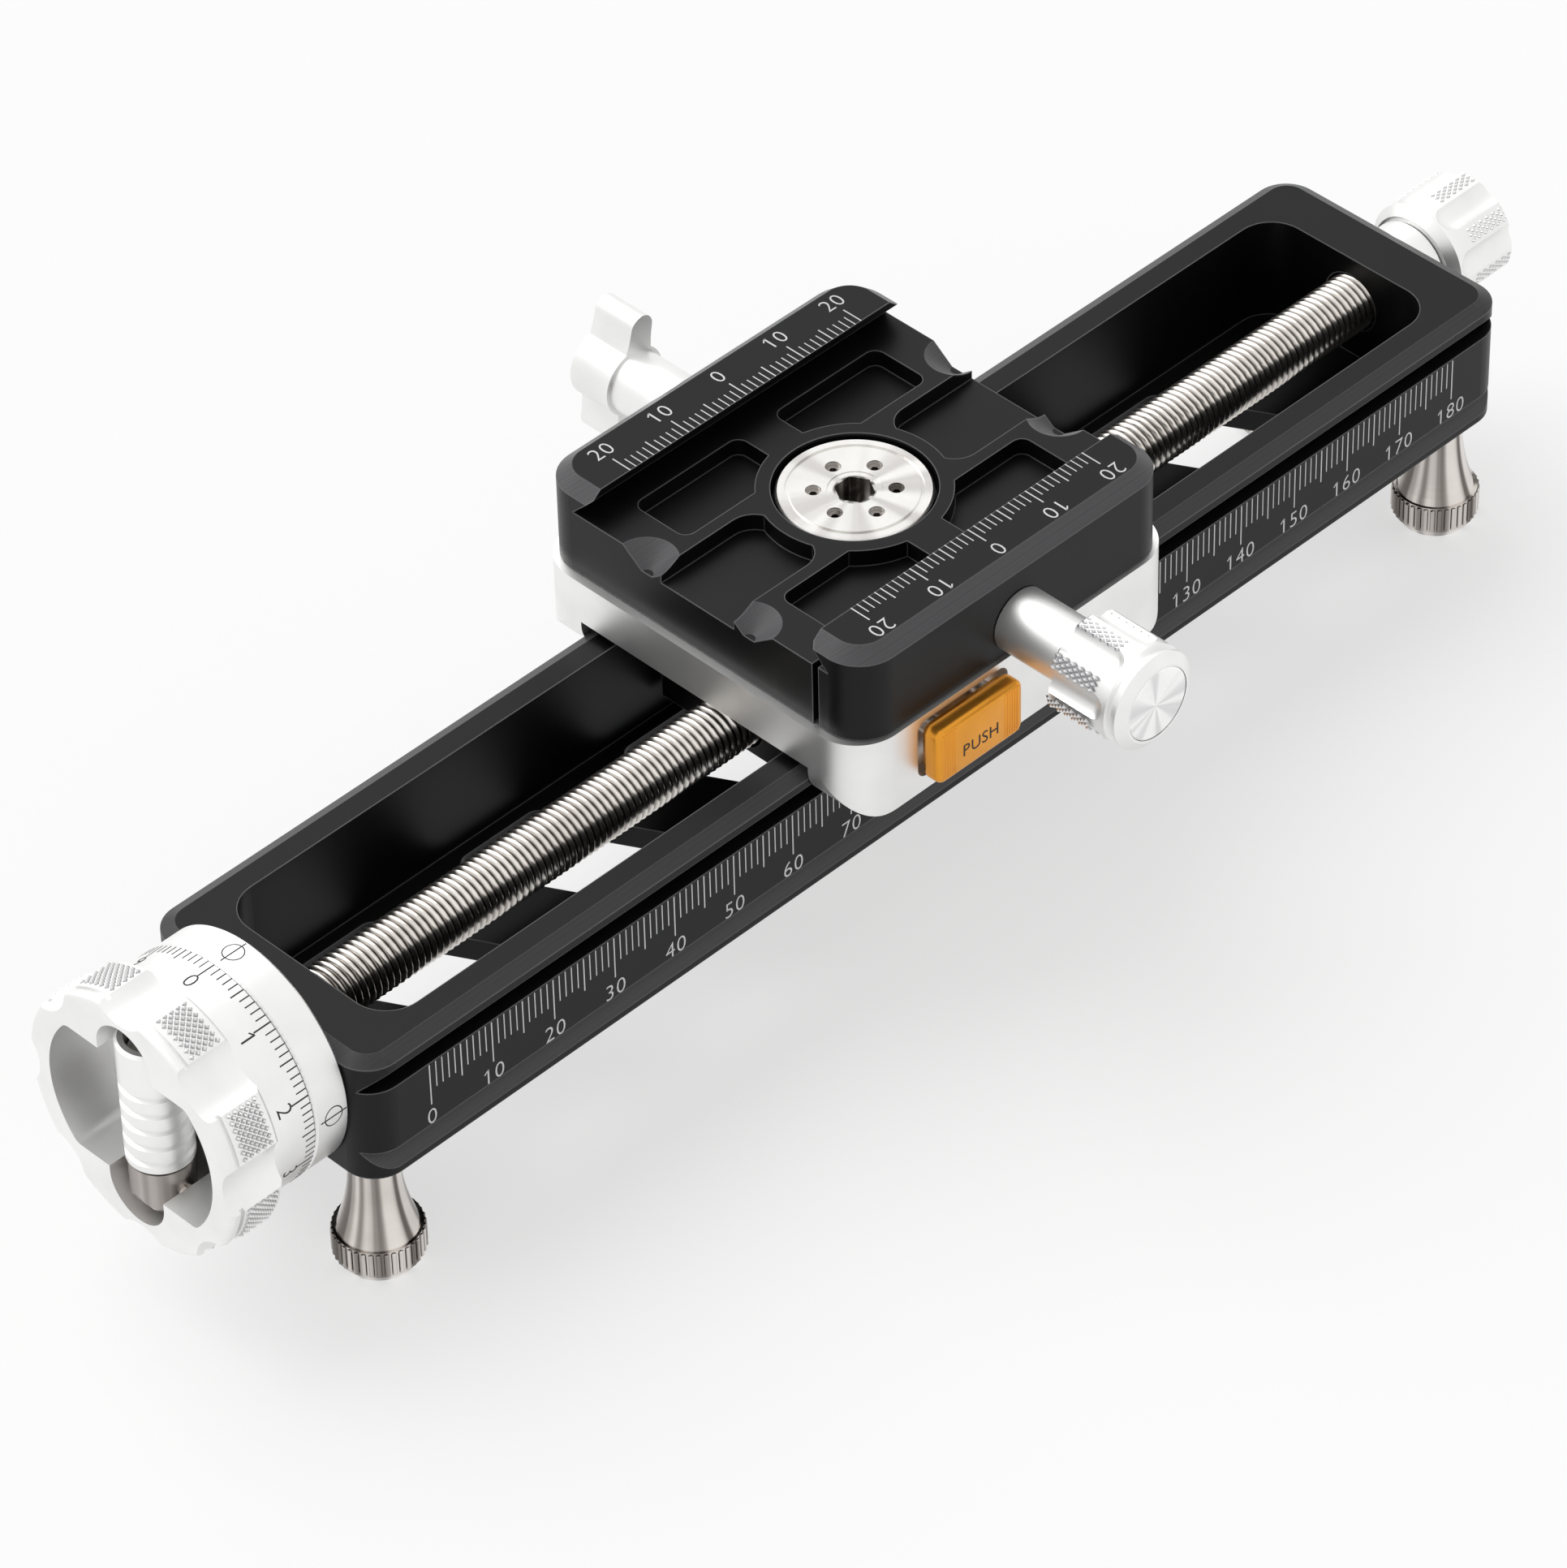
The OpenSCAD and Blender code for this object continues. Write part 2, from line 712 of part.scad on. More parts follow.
module focus_knob() {
    grip_z = knob_face - grip_l;
    rim_z = knob_face - rim_w;
    reach = cup_floor - knob_back - hub_hold;
    color([0.84, 0.84, 0.83])
        front_axis()
            difference() {
                rotate_extrude()
                    polygon(concat([[0, slide_gap / 2], [knob_boss_r, slide_gap / 2],
                        [knob_boss_r, knob_back], [collar_r - dial_edge, knob_back],
                        [collar_r, knob_back + dial_edge], [collar_r, grip_z],
                        [knob_r - grip_edge, grip_z], [knob_r, grip_z + grip_edge],
                        [knob_r, rim_z - rim_groove_w], [knob_r - rim_groove_d,
                        rim_z - rim_groove_w], [knob_r - rim_groove_d, rim_z], [knob_r, rim_z]],
                        [for (i = [0 : rim_steps])
                            [knob_r - rim_edge + rim_edge * cos(i * 90 / rim_steps),
                                knob_face - rim_edge + rim_edge * sin(i * 90 / rim_steps)]],
                        [[0, knob_face]]));
                scallops(scallop_count, scallop_floor_r, scallop_r, knob_face + cut,
                    grip_z + grip_edge, scallop_turn);
                translate([0, 0, cup_floor])
                    linear_extrude(knob_face)
                        cup_outline();
                translate([0, 0, cup_floor])
                    linear_extrude(knob_face)
                        round_slot(2 * slot_reach, slot_w);
                translate([0, 0, -cut])
                    cylinder(knob_back + hub_hold + cut, r = journal_r + seat);
                cylinder(knob_face, r = m3_r + slide_gap);
                translate([0, 0, cup_floor - fixing_head_r + m3_r])
                    cylinder(fixing_head_r - m3_r + seat, r1 = m3_r + seat,
                        r2 = fixing_head_r + seat * 2);
                translate([-crank_pivot_off, -hinge_pin_in, crank_axis])
                    rotate([-90, 0, 0])
                        cylinder(hinge_pin_in + knob_r, r = hinge_pin_r + seat);
            }
}

module knob_fixing_screw() {
    color([0.35, 0.35, 0.36])
        front_axis()
            translate([0, 0, cup_floor])
                difference() {
                    union() {
                        translate([0, 0, m3_r - fixing_head_r])
                            cylinder(fixing_head_r - m3_r, r1 = m3_r, r2 = fixing_head_r);
                        translate([0, 0, knob_back + hub_hold - fixing_in + slide_gap
                            - cup_floor])
                            cylinder(cup_floor - knob_back - hub_hold + fixing_in - slide_gap
                                - (fixing_head_r - m3_r) / 2, r = m3_r);
                    }
                    hex_socket(fixing_head_r * sunk_hex_share, m3_r);
                }
}

// Crank: the hinge pin stays in the knob, the arm and the sleeve fold out of the slot
// How far the pin reaches past the slot on its closed side, and on its drilled side
hinge_pin_in = 7.5;
hinge_pin_out = 10.9;

module crank_hinge_pin() {
    color([0.6, 0.6, 0.62])
        front_axis()
            translate([-crank_pivot_off, -hinge_pin_in + slide_gap, crank_axis])
                rotate([-90, 0, 0])
                    cylinder(hinge_pin_in + hinge_pin_out, r = hinge_pin_r);
}

// Distance of the spindle's end below the sleeve's, and play of the turning sleeve
spindle_end_in = 3.6;
sleeve_play = 0.05;
// Head of the screw that keeps the sleeve on, in its recess
end_head_r = 2.7;
end_head_h = 1.6;
end_screw_r = 1.2;
end_screw_in = 6;
end_recess_r = 3.1;

module crank_arm() {
    eye_clear = 0.3;
    color([0.6, 0.59, 0.57])
        front_axis()
            translate([0, 0, crank_axis])
                difference() {
                    union() {
                        intersection() {
                            translate([-crank_pivot_off - crank_eye_r, 0, 0])
                                rotate([0, 90, 0])
                                    cylinder(crank_eye_r + crank_pivot_off - sleeve_low
                                        - slide_gap, r = crank_eye_r);
                            union() {
                                translate([-crank_pivot_off, -crank_eye_r, 0])
                                    rotate([-90, 0, 0])
                                        cylinder(2 * crank_eye_r, r = crank_eye_r);
                                translate([-crank_pivot_off, -crank_eye_r, -crank_eye_r])
                                    cube([crank_eye_r, 2 * crank_eye_r, 2 * crank_eye_r]);
                            }
                            translate([-crank_pivot_off, 0, 0])
                                sphere(r = slot_w / 2 - eye_clear);
                        }
                        translate([-crank_pivot_off, 0, 0])
                            rotate([0, 90, 0])
                                cylinder(crank_pivot_off - sleeve_low - slide_gap,
                                    r = crank_eye_r);
                        translate([-crank_pivot_off, 0, 0])
                            rotate([0, 90, 0])
                                cylinder(crank_pivot_off + sleeve_high - spindle_end_in,
                                    r = spindle_r);
                    }
                    translate([-crank_pivot_off, -crank_eye_r - cut, 0])
                        rotate([-90, 0, 0])
                            cylinder(2 * crank_eye_r + 2 * cut, r = hinge_pin_r + run_clear);
                    translate([sleeve_high - spindle_end_in - end_screw_in, 0, 0])
                        rotate([0, 90, 0])
                            cylinder(end_screw_in + cut, r = end_screw_r + seat);
                }
}

module crank_sleeve() {
    low = sleeve_groove_pitch * (sleeve_groove_count - 1) / 2;
    edge = sleeve_groove_d;
    color([0.84, 0.84, 0.83])
        front_axis()
            translate([0, 0, crank_axis])
                rotate([0, 90, 0])
                    difference() {
                        rotate_extrude()
                            polygon([[spindle_r + sleeve_play, -sleeve_low],
                                [crank_r - edge, -sleeve_low], [crank_r, edge - sleeve_low],
                                [crank_r, sleeve_high - edge], [crank_r - edge, sleeve_high],
                                [end_recess_r, sleeve_high],
                                [end_recess_r, sleeve_high - spindle_end_in + slide_gap],
                                [spindle_r + sleeve_play,
                                sleeve_high - spindle_end_in + slide_gap]]);
                        for (i = [0 : sleeve_groove_count - 1])
                            translate([0, 0, i * sleeve_groove_pitch - low])
                                rotate_extrude()
                                    polygon([[crank_r - sleeve_groove_d, -sleeve_groove_w / 4],
                                        [crank_r + cut, -sleeve_groove_w],
                                        [crank_r + cut, sleeve_groove_w],
                                        [crank_r - sleeve_groove_d, sleeve_groove_w / 4]]);
                    }
}

module crank_end_screw() {
    color([0.35, 0.34, 0.33])
        front_axis()
            translate([sleeve_high - spindle_end_in + slide_gap * 2, 0, crank_axis])
                rotate([0, 90, 0])
                    cap_screw(end_screw_in + slide_gap, end_screw_r, end_head_r, end_head_h);
}

// Rear knob, scalloped like the clamp knob, with the ball ends towards the rail
// Number, floor and cutter of the small knobs' scallops
small_count = 7;
small_cut_r = 2.4;
small_depth = 1.1;
// Chamfers of the small knobs' inner and outer ends
small_edge = 1.2;
small_face_edge = 0.7;
small_neck_edge = 0.4;

module rear_knob() {
    back = rear_cap_l + slide_gap;
    face = back + rear_knob_l;
    color([0.84, 0.84, 0.83])
        rear_axis()
            difference() {
                rotate_extrude()
                    polygon([[0, -rear_cap_sink + slide_gap / 2],
                        [rear_boss_r, -rear_cap_sink + slide_gap / 2],
                        [rear_boss_r, back], [rear_knob_r - small_edge, back],
                        [rear_knob_r, back + small_edge], [rear_knob_r, face - small_face_edge],
                        [rear_knob_r - small_face_edge, face], [0, face]]);
                scallops(small_count, rear_knob_r - small_depth, small_cut_r, face + cut,
                    back + 2 * small_edge + small_depth, 0);
                translate([0, 0, -rear_cap_sink - cut])
                    cylinder(rear_cap_sink + back + rear_hold + cut, r = journal_r + seat);
                translate([0, 0, back + rear_hold / 2])
                    rotate([0, 90, 0])
                        cylinder(rear_knob_r + cut, r = m3_r + seat);
            }
}

module rear_knob_set_screw() {
    back = rear_cap_l + slide_gap;
    out = rear_knob_r - small_depth - slide_gap * 4;
    color([0.35, 0.35, 0.36])
        rear_axis()
            translate([out, 0, back + rear_hold / 2])
                rotate([0, 90, 0])
                    difference() {
                        translate([0, 0, journal_r - out])
                            cylinder(out - journal_r, r = m3_r);
                        hex_socket(m3_r * hex_share, m3_r);
                    }
}

// Carriage: plate, two guide rails, release nut and its housing
// Heights and places of the guide rails
tongue_gap = 0.2;
guide_low = guide_floor_z + 2 * tongue_gap;
guide_in_y = rail_y + guide_clear;
guide_screw_wall = 0.8;
guide_screw_y = guide_in_y + guide_screw_wall + m3_head_r + slide_gap;
guide_screw_x = 20;
guide_screw_in = 4.5;
// Recess behind the release button: play at its ends, above and below, and behind
recess_end_play = 0.4;
recess_play = 0.3;
recess_in = button_travel + slide_gap * 3;
// Nut's pocket: play round the nut, and the seats of its two springs in nut and plate
nut_play = 0.1;
nut_back_play = 0.3;
nut_back_y = nut_half_w + button_travel + nut_back_play;
nut_cap = 0.5;
nut_top = rod_z + rod_r + nut_cap;
spring_r = 1.6;
spring_bore_r = 0.9;
spring_nut_in = 4.8;
spring_seat_in = 0.8;
// Housing round the nut
housing_wall = 5;
housing_gap = 1;
housing_y = open_y - housing_gap;
housing_screw_y = 9.5;
housing_screw_in = 4;
screw_way = 0.4;
// Pivot screw
pivot_screw_r = 2.5;
pivot_head_r = 3.4;
pivot_head_h = 4;
pivot_hex_r = 2.6;
pivot_screw_in = 5.2;

// The space that the nut needs in the plate and in its housing
module nut_space(z0, z1) {
    translate([nut_x - nut_l / 2 - nut_play, -nut_half_w - nut_back_play, z0])
        cube([nut_l + 2 * nut_play, nut_back_y + nut_half_w + nut_back_play, z1 - z0]);
}

// The recess that the button moves into
module button_recess() {
    translate([nut_x, recess_in - saddle_w / 2, button_z + button_h / 2])
        rotate([90, 0, 0])
            slab(button_l + 2 * recess_end_play, button_h + 2 * recess_play, recess_in + cut,
                button_corner_r + recess_play);
}

module saddle_plate() {
    color([0.86, 0.86, 0.85])
        difference() {
            translate([carriage_x, 0, plate_z])
                slab(saddle_l, saddle_w, saddle_t, saddle_corner_r);
            nut_space(plate_z - cut, nut_top + nut_play * 2);
            button_recess();
            for (x = [-1, 1])
                translate([nut_x + x * rod_pitch / 2, 0, rod_z]) {
                    rotate([90, 0, 0])
                        cylinder(saddle_w / 2, r = rod_r + run_clear);
                    rotate([-90, 0, 0])
                        cylinder(nut_back_y + spring_seat_in, r = spring_r + slide_gap);
                }
            for (x = [-1, 1], y = [-1, 1]) {
                translate([carriage_x + x * guide_screw_x, y * guide_screw_y, plate_z - cut])
                    cylinder(guide_screw_in + cut, r = m3_r + seat);
                translate([nut_x + x * (nut_l + housing_wall) / 2, y * housing_screw_y,
                    plate_z - cut])
                    cylinder(housing_screw_in + cut, r = m2_r + seat);
            }
            translate([carriage_x, 0, 0]) {
                translate([0, 0, plate_top - pivot_screw_in])
                    cylinder(pivot_screw_in + cut, r = pivot_screw_r + seat);
                disc_screw_holes(plate_top - disc_screw_in);
            }
        }
}

// One guide rail on the -Y side, with its tongue in the rail's groove
module guide_rail(recess) {
    tongue_top = guide_floor_z + guide_depth + guide_clear - tongue_gap * sqrt(2);
    tongue_in = tongue_top - guide_low;
    head_z = guide_low + m3_head_h + slide_gap;
    difference() {
        union() {
            intersection() {
                translate([carriage_x, 0, guide_low])
                    slab(saddle_l, saddle_w, plate_z - guide_low, saddle_corner_r);
                translate([carriage_x, 0, 0])
                    rotate([90, 0, 0])
                        linear_extrude(saddle_w) {
                            translate([0, guide_low + saddle_w / 2])
                                round_square(saddle_l, saddle_w, guide_corner_r);
                        }
                translate([carriage_x - saddle_l / 2 - cut, -saddle_w / 2 - cut, guide_low - cut])
                    cube([saddle_l + 2 * cut, saddle_w / 2 + cut - guide_in_y,
                        plate_z - guide_low + 2 * cut]);
            }
            translate([carriage_x, 0, 0])
                along_x(saddle_l - 2 * guide_corner_r, [[-guide_in_y - cut, guide_low],
                    [-guide_in_y + tongue_in, guide_low], [-guide_in_y, tongue_top],
                    [-guide_in_y - cut, tongue_top]]);
        }
        if (recess)
            button_recess();
        for (x = [-1, 1])
            translate([carriage_x + x * guide_screw_x, -guide_screw_y, guide_low - cut]) {
                cylinder(saddle_w, r = m3_r + slide_gap);
                cylinder(head_z - guide_low + cut, r = m3_head_r + slide_gap);
            }
    }
}

module guide_rail_front() {
    color([0.86, 0.86, 0.85])
        guide_rail(true);
}

module guide_rail_back() {
    color([0.86, 0.86, 0.85])
        mirror([0, 1, 0])
            guide_rail(false);
}

module guide_rail_screws() {
    head_z = guide_low + m3_head_h + slide_gap;
    color([0.35, 0.35, 0.36])
        for (x = [-1, 1], y = [-1, 1])
            translate([carriage_x + x * guide_screw_x, y * guide_screw_y, head_z])
                mirror([0, 0, 1])
                    cap_screw(plate_z - head_z + guide_screw_in - slide_gap, m3_r, m3_head_r,
                        m3_head_h);
}

// The lead screw's clear way through the housing
module screw_bore(r) {
    translate([nut_x - nut_l - housing_wall, 0, axis_z])
        rotate([0, 90, 0])
            cylinder(2 * (nut_l + housing_wall), r = r);
}

module nut_housing() {
    color([0.3, 0.3, 0.31])
        difference() {
            translate([nut_x - nut_l / 2 - housing_wall, -housing_y, nut_low])
                cube([nut_l + 2 * housing_wall, 2 * housing_y, plate_z - nut_low]);
            nut_space(nut_low - cut, plate_z + cut);
            screw_bore(screw_r + screw_way);
            for (x = [-1, 1], y = [-1, 1])
                translate([nut_x + x * (nut_l + housing_wall) / 2, y * housing_screw_y,
                    nut_low - cut]) {
                    cylinder(plate_z, r = m2_r + slide_gap);
                    cylinder(m2_head_h + slide_gap + cut, r = m2_head_r + slide_gap);
                }
        }
}

module nut_housing_screws() {
    head_z = nut_low + m2_head_h + slide_gap;
    color([0.35, 0.35, 0.36])
        for (x = [-1, 1], y = [-1, 1])
            translate([nut_x + x * (nut_l + housing_wall) / 2, y * housing_screw_y, head_z])
                mirror([0, 0, 1])
                    cap_screw(plate_z - head_z + housing_screw_in - slide_gap, m2_r,
                        m2_head_r, m2_head_h);
}

// Release button with chamfered edges and its two rods
// Chamfer of the button's face, and how far the rods reach into button and nut
button_edge = 0.6;
button_corner_r = 1.2;
rod_in = 1.6;
ridge_count = 4;
ridge_pitch = 0.62;
ridge_w = 0.3;
ridge_d = 0.18;

module release_button() {
    color([0.86, 0.6, 0.25])
        difference() {
            translate([nut_x, -button_y, button_z + button_h / 2])
                rotate([90, 0, 0])
                    chamfer_slab(button_l, button_h, button_t, button_corner_r, button_edge,
                        button_edge);
            for (x = [-1, 1])
                translate([nut_x + x * rod_pitch / 2, -button_y + cut, rod_z])
                    rotate([90, 0, 0])
                        cylinder(rod_in + cut, r = rod_r + seat);
            for (x = [-1, 1], i = [0 : ridge_count - 1])
                translate([nut_x + x * (button_l / 2 - button_edge - ridge_w
                    - i * ridge_pitch) - ridge_w / 2, -button_y - button_t - cut, button_z - cut])
                    cube([ridge_w, ridge_d + cut, button_h + 2 * cut]);
        }
}

module release_rods() {
    color([0.6, 0.6, 0.62])
        for (x = [-1, 1])
            translate([nut_x + x * rod_pitch / 2, -nut_half_w + rod_in, rod_z])
                rotate([90, 0, 0])
                    cylinder(button_y - nut_half_w + 2 * rod_in - seat, r = rod_r);
}

// The nut is threaded on its +Y flank only: pushed towards +Y it leaves the screw free
module release_nut() {
    free = button_travel + nut_back_play;
    color([0.72, 0.58, 0.3])
        difference() {
            translate([nut_x - nut_l / 2, -nut_half_w, nut_low])
                cube([nut_l, 2 * nut_half_w, nut_top - nut_low]);
            translate([nut_x - nut_l, 0, axis_z])
                rotate([0, 90, 0])
                    cylinder(2 * nut_l, r = screw_r + run_clear);
            translate([nut_x - nut_l, -free, axis_z])
                rotate([0, 90, 0])
                    cylinder(2 * nut_l, r = screw_r + run_clear);
            translate([nut_x - nut_l, -free, axis_z - screw_r - run_clear])
                cube([2 * nut_l, free, 2 * (screw_r + run_clear)]);
            for (x = [-1, 1])
                translate([nut_x + x * rod_pitch / 2, 0, rod_z]) {
                    translate([0, -nut_half_w + rod_in, 0])
                        rotate([90, 0, 0])
                            cylinder(rod_in + cut, r = rod_r + seat);
                    translate([0, nut_half_w - spring_nut_in, 0])
                        rotate([-90, 0, 0])
                            cylinder(spring_nut_in + cut, r = spring_r + slide_gap);
                }
        }
}

module release_springs() {
    spring_low = nut_half_w - spring_nut_in + button_travel + slide_gap;
    spring_l = nut_back_y + spring_seat_in - seat - spring_low;
    color([0.6, 0.6, 0.62])
        for (x = [-1, 1])
            translate([nut_x + x * rod_pitch / 2, spring_low, rod_z])
                rotate([-90, 0, 0])
                    difference() {
                        cylinder(spring_l, r = spring_r);
                        translate([0, 0, -cut])
                            cylinder(spring_l + 2 * cut, r = spring_bore_r);
                    }
}

// Pivot of the clamp on the carriage
// Edge of the disc, its turned ring and the small screws in it
disc_edge = 0.3;
disc_ring_r = 8.35;
disc_ring_w = 0.5;
disc_ring_d = 0.25;
disc_hole_r = 1;
disc_screw_in = 1.2;
disc_screw_sink = 0.6;
disc_screw_count = 6;
disc_screw_phase = 16;
hub_clear = 0.05;
washer_t = 0.3;
washer_gap = 0.05;
disc_screw_l = disc_top - disc_screw_sink - plate_top + disc_screw_in - seat;
pivot_shoulder_z = disc_low - washer_t - 2 * washer_gap;

module pivot_disc() {
    head_z = disc_top - pivot_head_h;
    color([0.83, 0.82, 0.8])
        translate([carriage_x, 0, 0])
            difference() {
                rotate_extrude()
                    polygon([[0, plate_top], [hub_r, plate_top], [hub_r, disc_low],
                        [disc_r, disc_low], [disc_r, disc_top - disc_edge],
                        [disc_r - disc_edge, disc_top],
                        [disc_ring_r + disc_ring_w / 2, disc_top],
                        [disc_ring_r + disc_ring_w / 2, disc_top - disc_ring_d],
                        [disc_ring_r - disc_ring_w / 2, disc_top - disc_ring_d],
                        [disc_ring_r - disc_ring_w / 2, disc_top], [0, disc_top]]);
                translate([0, 0, plate_top - cut])
                    cylinder(disc_top, r = pivot_screw_r + seat);
                translate([0, 0, head_z])
                    cylinder(pivot_head_h + cut, r = pivot_head_r + seat);
                disc_screw_holes(plate_top - cut);
            }
}

// Holes for the small screws in the disc, from a height z upwards
module disc_screw_holes(z) {
    for (i = [0 : disc_screw_count - 1])
        rotate([0, 0, disc_screw_phase + i * 360 / disc_screw_count])
            translate([disc_screw_ring, 0, z])
                cylinder(disc_top, r = disc_hole_r);
}

module pivot_screw() {
    head_z = disc_top - pivot_head_h;
    color([0.8, 0.8, 0.8])
        translate([carriage_x, 0, head_z])
            difference() {
                union() {
                    cylinder(pivot_head_h - slide_gap, r = pivot_head_r);
                    translate([0, 0, plate_top - pivot_screw_in + slide_gap - head_z])
                        cylinder(head_z - plate_top + pivot_screw_in + pivot_head_r / 2,
                            r = pivot_screw_r);
                }
                translate([0, 0, pivot_head_h - slide_gap])
                    hex_socket(pivot_hex_r, pivot_head_h - pivot_head_r / 4);
            }
}

module disc_screws() {
    color([0.7, 0.7, 0.7])
        translate([carriage_x, 0, disc_top - disc_screw_sink])
            for (i = [0 : disc_screw_count - 1])
                rotate([0, 0, disc_screw_phase + i * 360 / disc_screw_count])
                    translate([disc_screw_ring, 0, 0])
                        difference() {
                            translate([0, 0, -disc_screw_l])
                                cylinder(disc_screw_l, r = disc_hole_r - seat);
                            hex_socket(disc_hole_r * hex_share, disc_hole_r);
                        }
}

module pivot_washer() {
    color([0.7, 0.7, 0.72])
        translate([carriage_x, 0, pivot_shoulder_z + washer_gap])
            difference() {
                cylinder(washer_t, r = disc_r);
                translate([0, 0, -cut])
                    cylinder(washer_t + 2 * cut, r = hub_r + slide_gap);
            }
}

// Clamp body with the fixed jaw, and the moving jaw
// Wall between the clamp screw's end and the disc's recess
screw_end_wall = 0.8;
clamp_screw_in = disc_r + disc_gap + screw_end_wall;
// Guide pins and springs between body and jaw
pin_in = 11.4;
pin_out = 25.9;
pin_way = 1;
spring_x = 9.5;
spring_drop = 0.9;
jaw_spring_r = 2.3;
jaw_spring_bore_r = 1.6;
jaw_spring_in = 14.4;
jaw_spring_out = 21.5;
jaw_spring_way = 0.9;
// Bushes and tip of the rotation lock
bush_r = 3.8;
lock_bush_l = 8;
lock_tip_y = hub_r + 0.15;
lock_pad_r = 1.4;
lock_pad_l = 3.1;
lock_screw_gap = 0.1;
// Plan of the pockets in the channel's floor, from the middle of the clamp
pocket_out_x = 21;
pocket_in_x = 3;
pocket_in_y = 8;
pocket_fixed_y = 17.1;
pocket_corner_r = 1.5;
arch_in_x = 11.2;
arch_half_y = 6.2;
arch_corner_r = 3.5;
notch_y = 8.7;
notch_top_r = 4.1;
notch_low_r = 0.9;

// Channel of both jaws: the undercut, the lip and the open top
function jaw_points(lip_y, side) =
    [[0, channel_z], [side * (lip_y + undercut), channel_z],
        [side * lip_y, channel_z + undercut], [side * lip_y, clamp_top + cut],
        [0, clamp_top + cut]];

// The pockets in the channel's floor that leave its ribs and its ring
module floor_pockets() {
    back_y = split_y + cut;
    difference() {
        union() {
            for (x = [-1, 1]) {
                translate([x * (pocket_out_x + pocket_in_x) / 2,
                    (pocket_in_y + pocket_fixed_y) / 2, pocket_z])
                    slab(pocket_out_x - pocket_in_x, pocket_fixed_y - pocket_in_y,
                        clamp_top, pocket_corner_r);
                translate([x * (pocket_out_x + pocket_in_x) / 2,
                    -pocket_in_y - back_y / 2, pocket_z])
                    slab(pocket_out_x - pocket_in_x, back_y, clamp_top, pocket_corner_r);
                translate([x * (arch_in_x + clamp_l / 2), 0, pocket_z])
                    slab(clamp_l, 2 * arch_half_y, clamp_top, arch_corner_r);
            }
        }
        translate([0, 0, pocket_z - cut])
            cylinder(clamp_top, r = ring_r);
    }
    for (x = [-1, 1], y = [-1, 1])
        translate([x * clamp_l / 2, y * notch_y, pocket_z])
            cylinder(pocket_depth * (1 + cut / clamp_l), r1 = notch_low_r, r2 = notch_top_r);
}

module clamp_body() {
    h = clamp_floor_t + jaw_h;
    color([0.1, 0.1, 0.105])
        difference() {
            translate([carriage_x, 0, clamp_z])
                chamfer_slab(clamp_l, clamp_w, h, clamp_corner_r, jaw_edge_w, jaw_edge_h);
            translate([carriage_x - clamp_l, -clamp_w - split_y, 0])
                cube([2 * clamp_l, clamp_w, clamp_top + cut]);
            translate([carriage_x, 0, 0]) {
                along_x(2 * clamp_l, jaw_points(fixed_lip_y, 1));
                translate([-clamp_l, -clamp_w, channel_z])
                    cube([2 * clamp_l, clamp_w + cut, clamp_top]);
                floor_pockets();
                translate([0, 0, clamp_z - cut])
                    cylinder(clamp_top, r = hub_r + hub_clear);
                translate([0, 0, pivot_shoulder_z])
                    cylinder(clamp_top, r = disc_r + disc_gap);
                for (x = [-1, 1]) {
                    translate([x * guide_pin_x, -pin_in, cross_axis_z])
                        rotate([90, 0, 0])
                            cylinder(split_y, r = guide_pin_r + seat);
                    translate([x * spring_x, -jaw_spring_in, cross_axis_z - spring_drop])
                        rotate([90, 0, 0])
                            cylinder(split_y, r = jaw_spring_r + slide_gap);
                }
                translate([0, -clamp_screw_in, cross_axis_z])
                    rotate([90, 0, 0])
                        cylinder(split_y, r = clamp_screw_r + run_clear);
            }
            lock_axis() {
                translate([0, 0, -clamp_w / 2])
                    cylinder(clamp_w / 2 + cut, r = lock_pad_r + lock_screw_gap);
                translate([0, 0, lock_tip_y + lock_pad_l - clamp_w / 2])
                    cylinder(clamp_w / 2, r = lock_screw_r + lock_screw_gap);
                translate([0, 0, -lock_bush_l])
                    cylinder(lock_bush_l + cut, r = bush_r + seat);
            }
        }
}

module jaw_guide_pins() {
    color([0.7, 0.7, 0.72])
        for (x = [-1, 1])
            translate([carriage_x + x * guide_pin_x, -pin_in, cross_axis_z])
                rotate([90, 0, 0])
                    cylinder(pin_out - pin_in, r = guide_pin_r);
}

module jaw_springs() {
    color([0.6, 0.6, 0.62])
        for (x = [-1, 1])
            translate([carriage_x + x * spring_x, -jaw_spring_in,
                cross_axis_z - spring_drop])
                rotate([90, 0, 0])
                    difference() {
                        cylinder(jaw_spring_out - jaw_spring_in, r = jaw_spring_r);
                        translate([0, 0, -cut])
                            cylinder(clamp_w, r = jaw_spring_bore_r);
                    }
}

module lock_bush() {
    color([0.72, 0.58, 0.3])
        lock_axis()
            translate([0, 0, -lock_bush_l])
                difference() {
                    cylinder(lock_bush_l, r = bush_r);
                    translate([0, 0, -cut])
                        cylinder(lock_bush_l + 2 * cut, r = lock_screw_r + run_clear);
                }
}

module lock_pad() {
    color([0.72, 0.58, 0.3])
        lock_axis()
            translate([0, 0, lock_tip_y - clamp_w / 2])
                cylinder(lock_pad_l - slide_gap, r = lock_pad_r);
}

// Length of the screws inside the neck's far end
screw_hold = 3;

module lock_screw() {
    low = lock_tip_y + lock_pad_l - clamp_w / 2 + slide_gap;
    color([0.6, 0.6, 0.62])
        lock_axis()
            translate([0, 0, low])
                cylinder(neck_l + screw_hold - low, r = lock_screw_r);
}

// Neck of the wing knob and its two arms
// Share of the neck's radius by which the hub is wider than the neck
wing_hub_share = 1.12;
wing_root_share = 0.85;
neck_gap = 0.2;

wing_curve = 2;
wing_steps = 8;

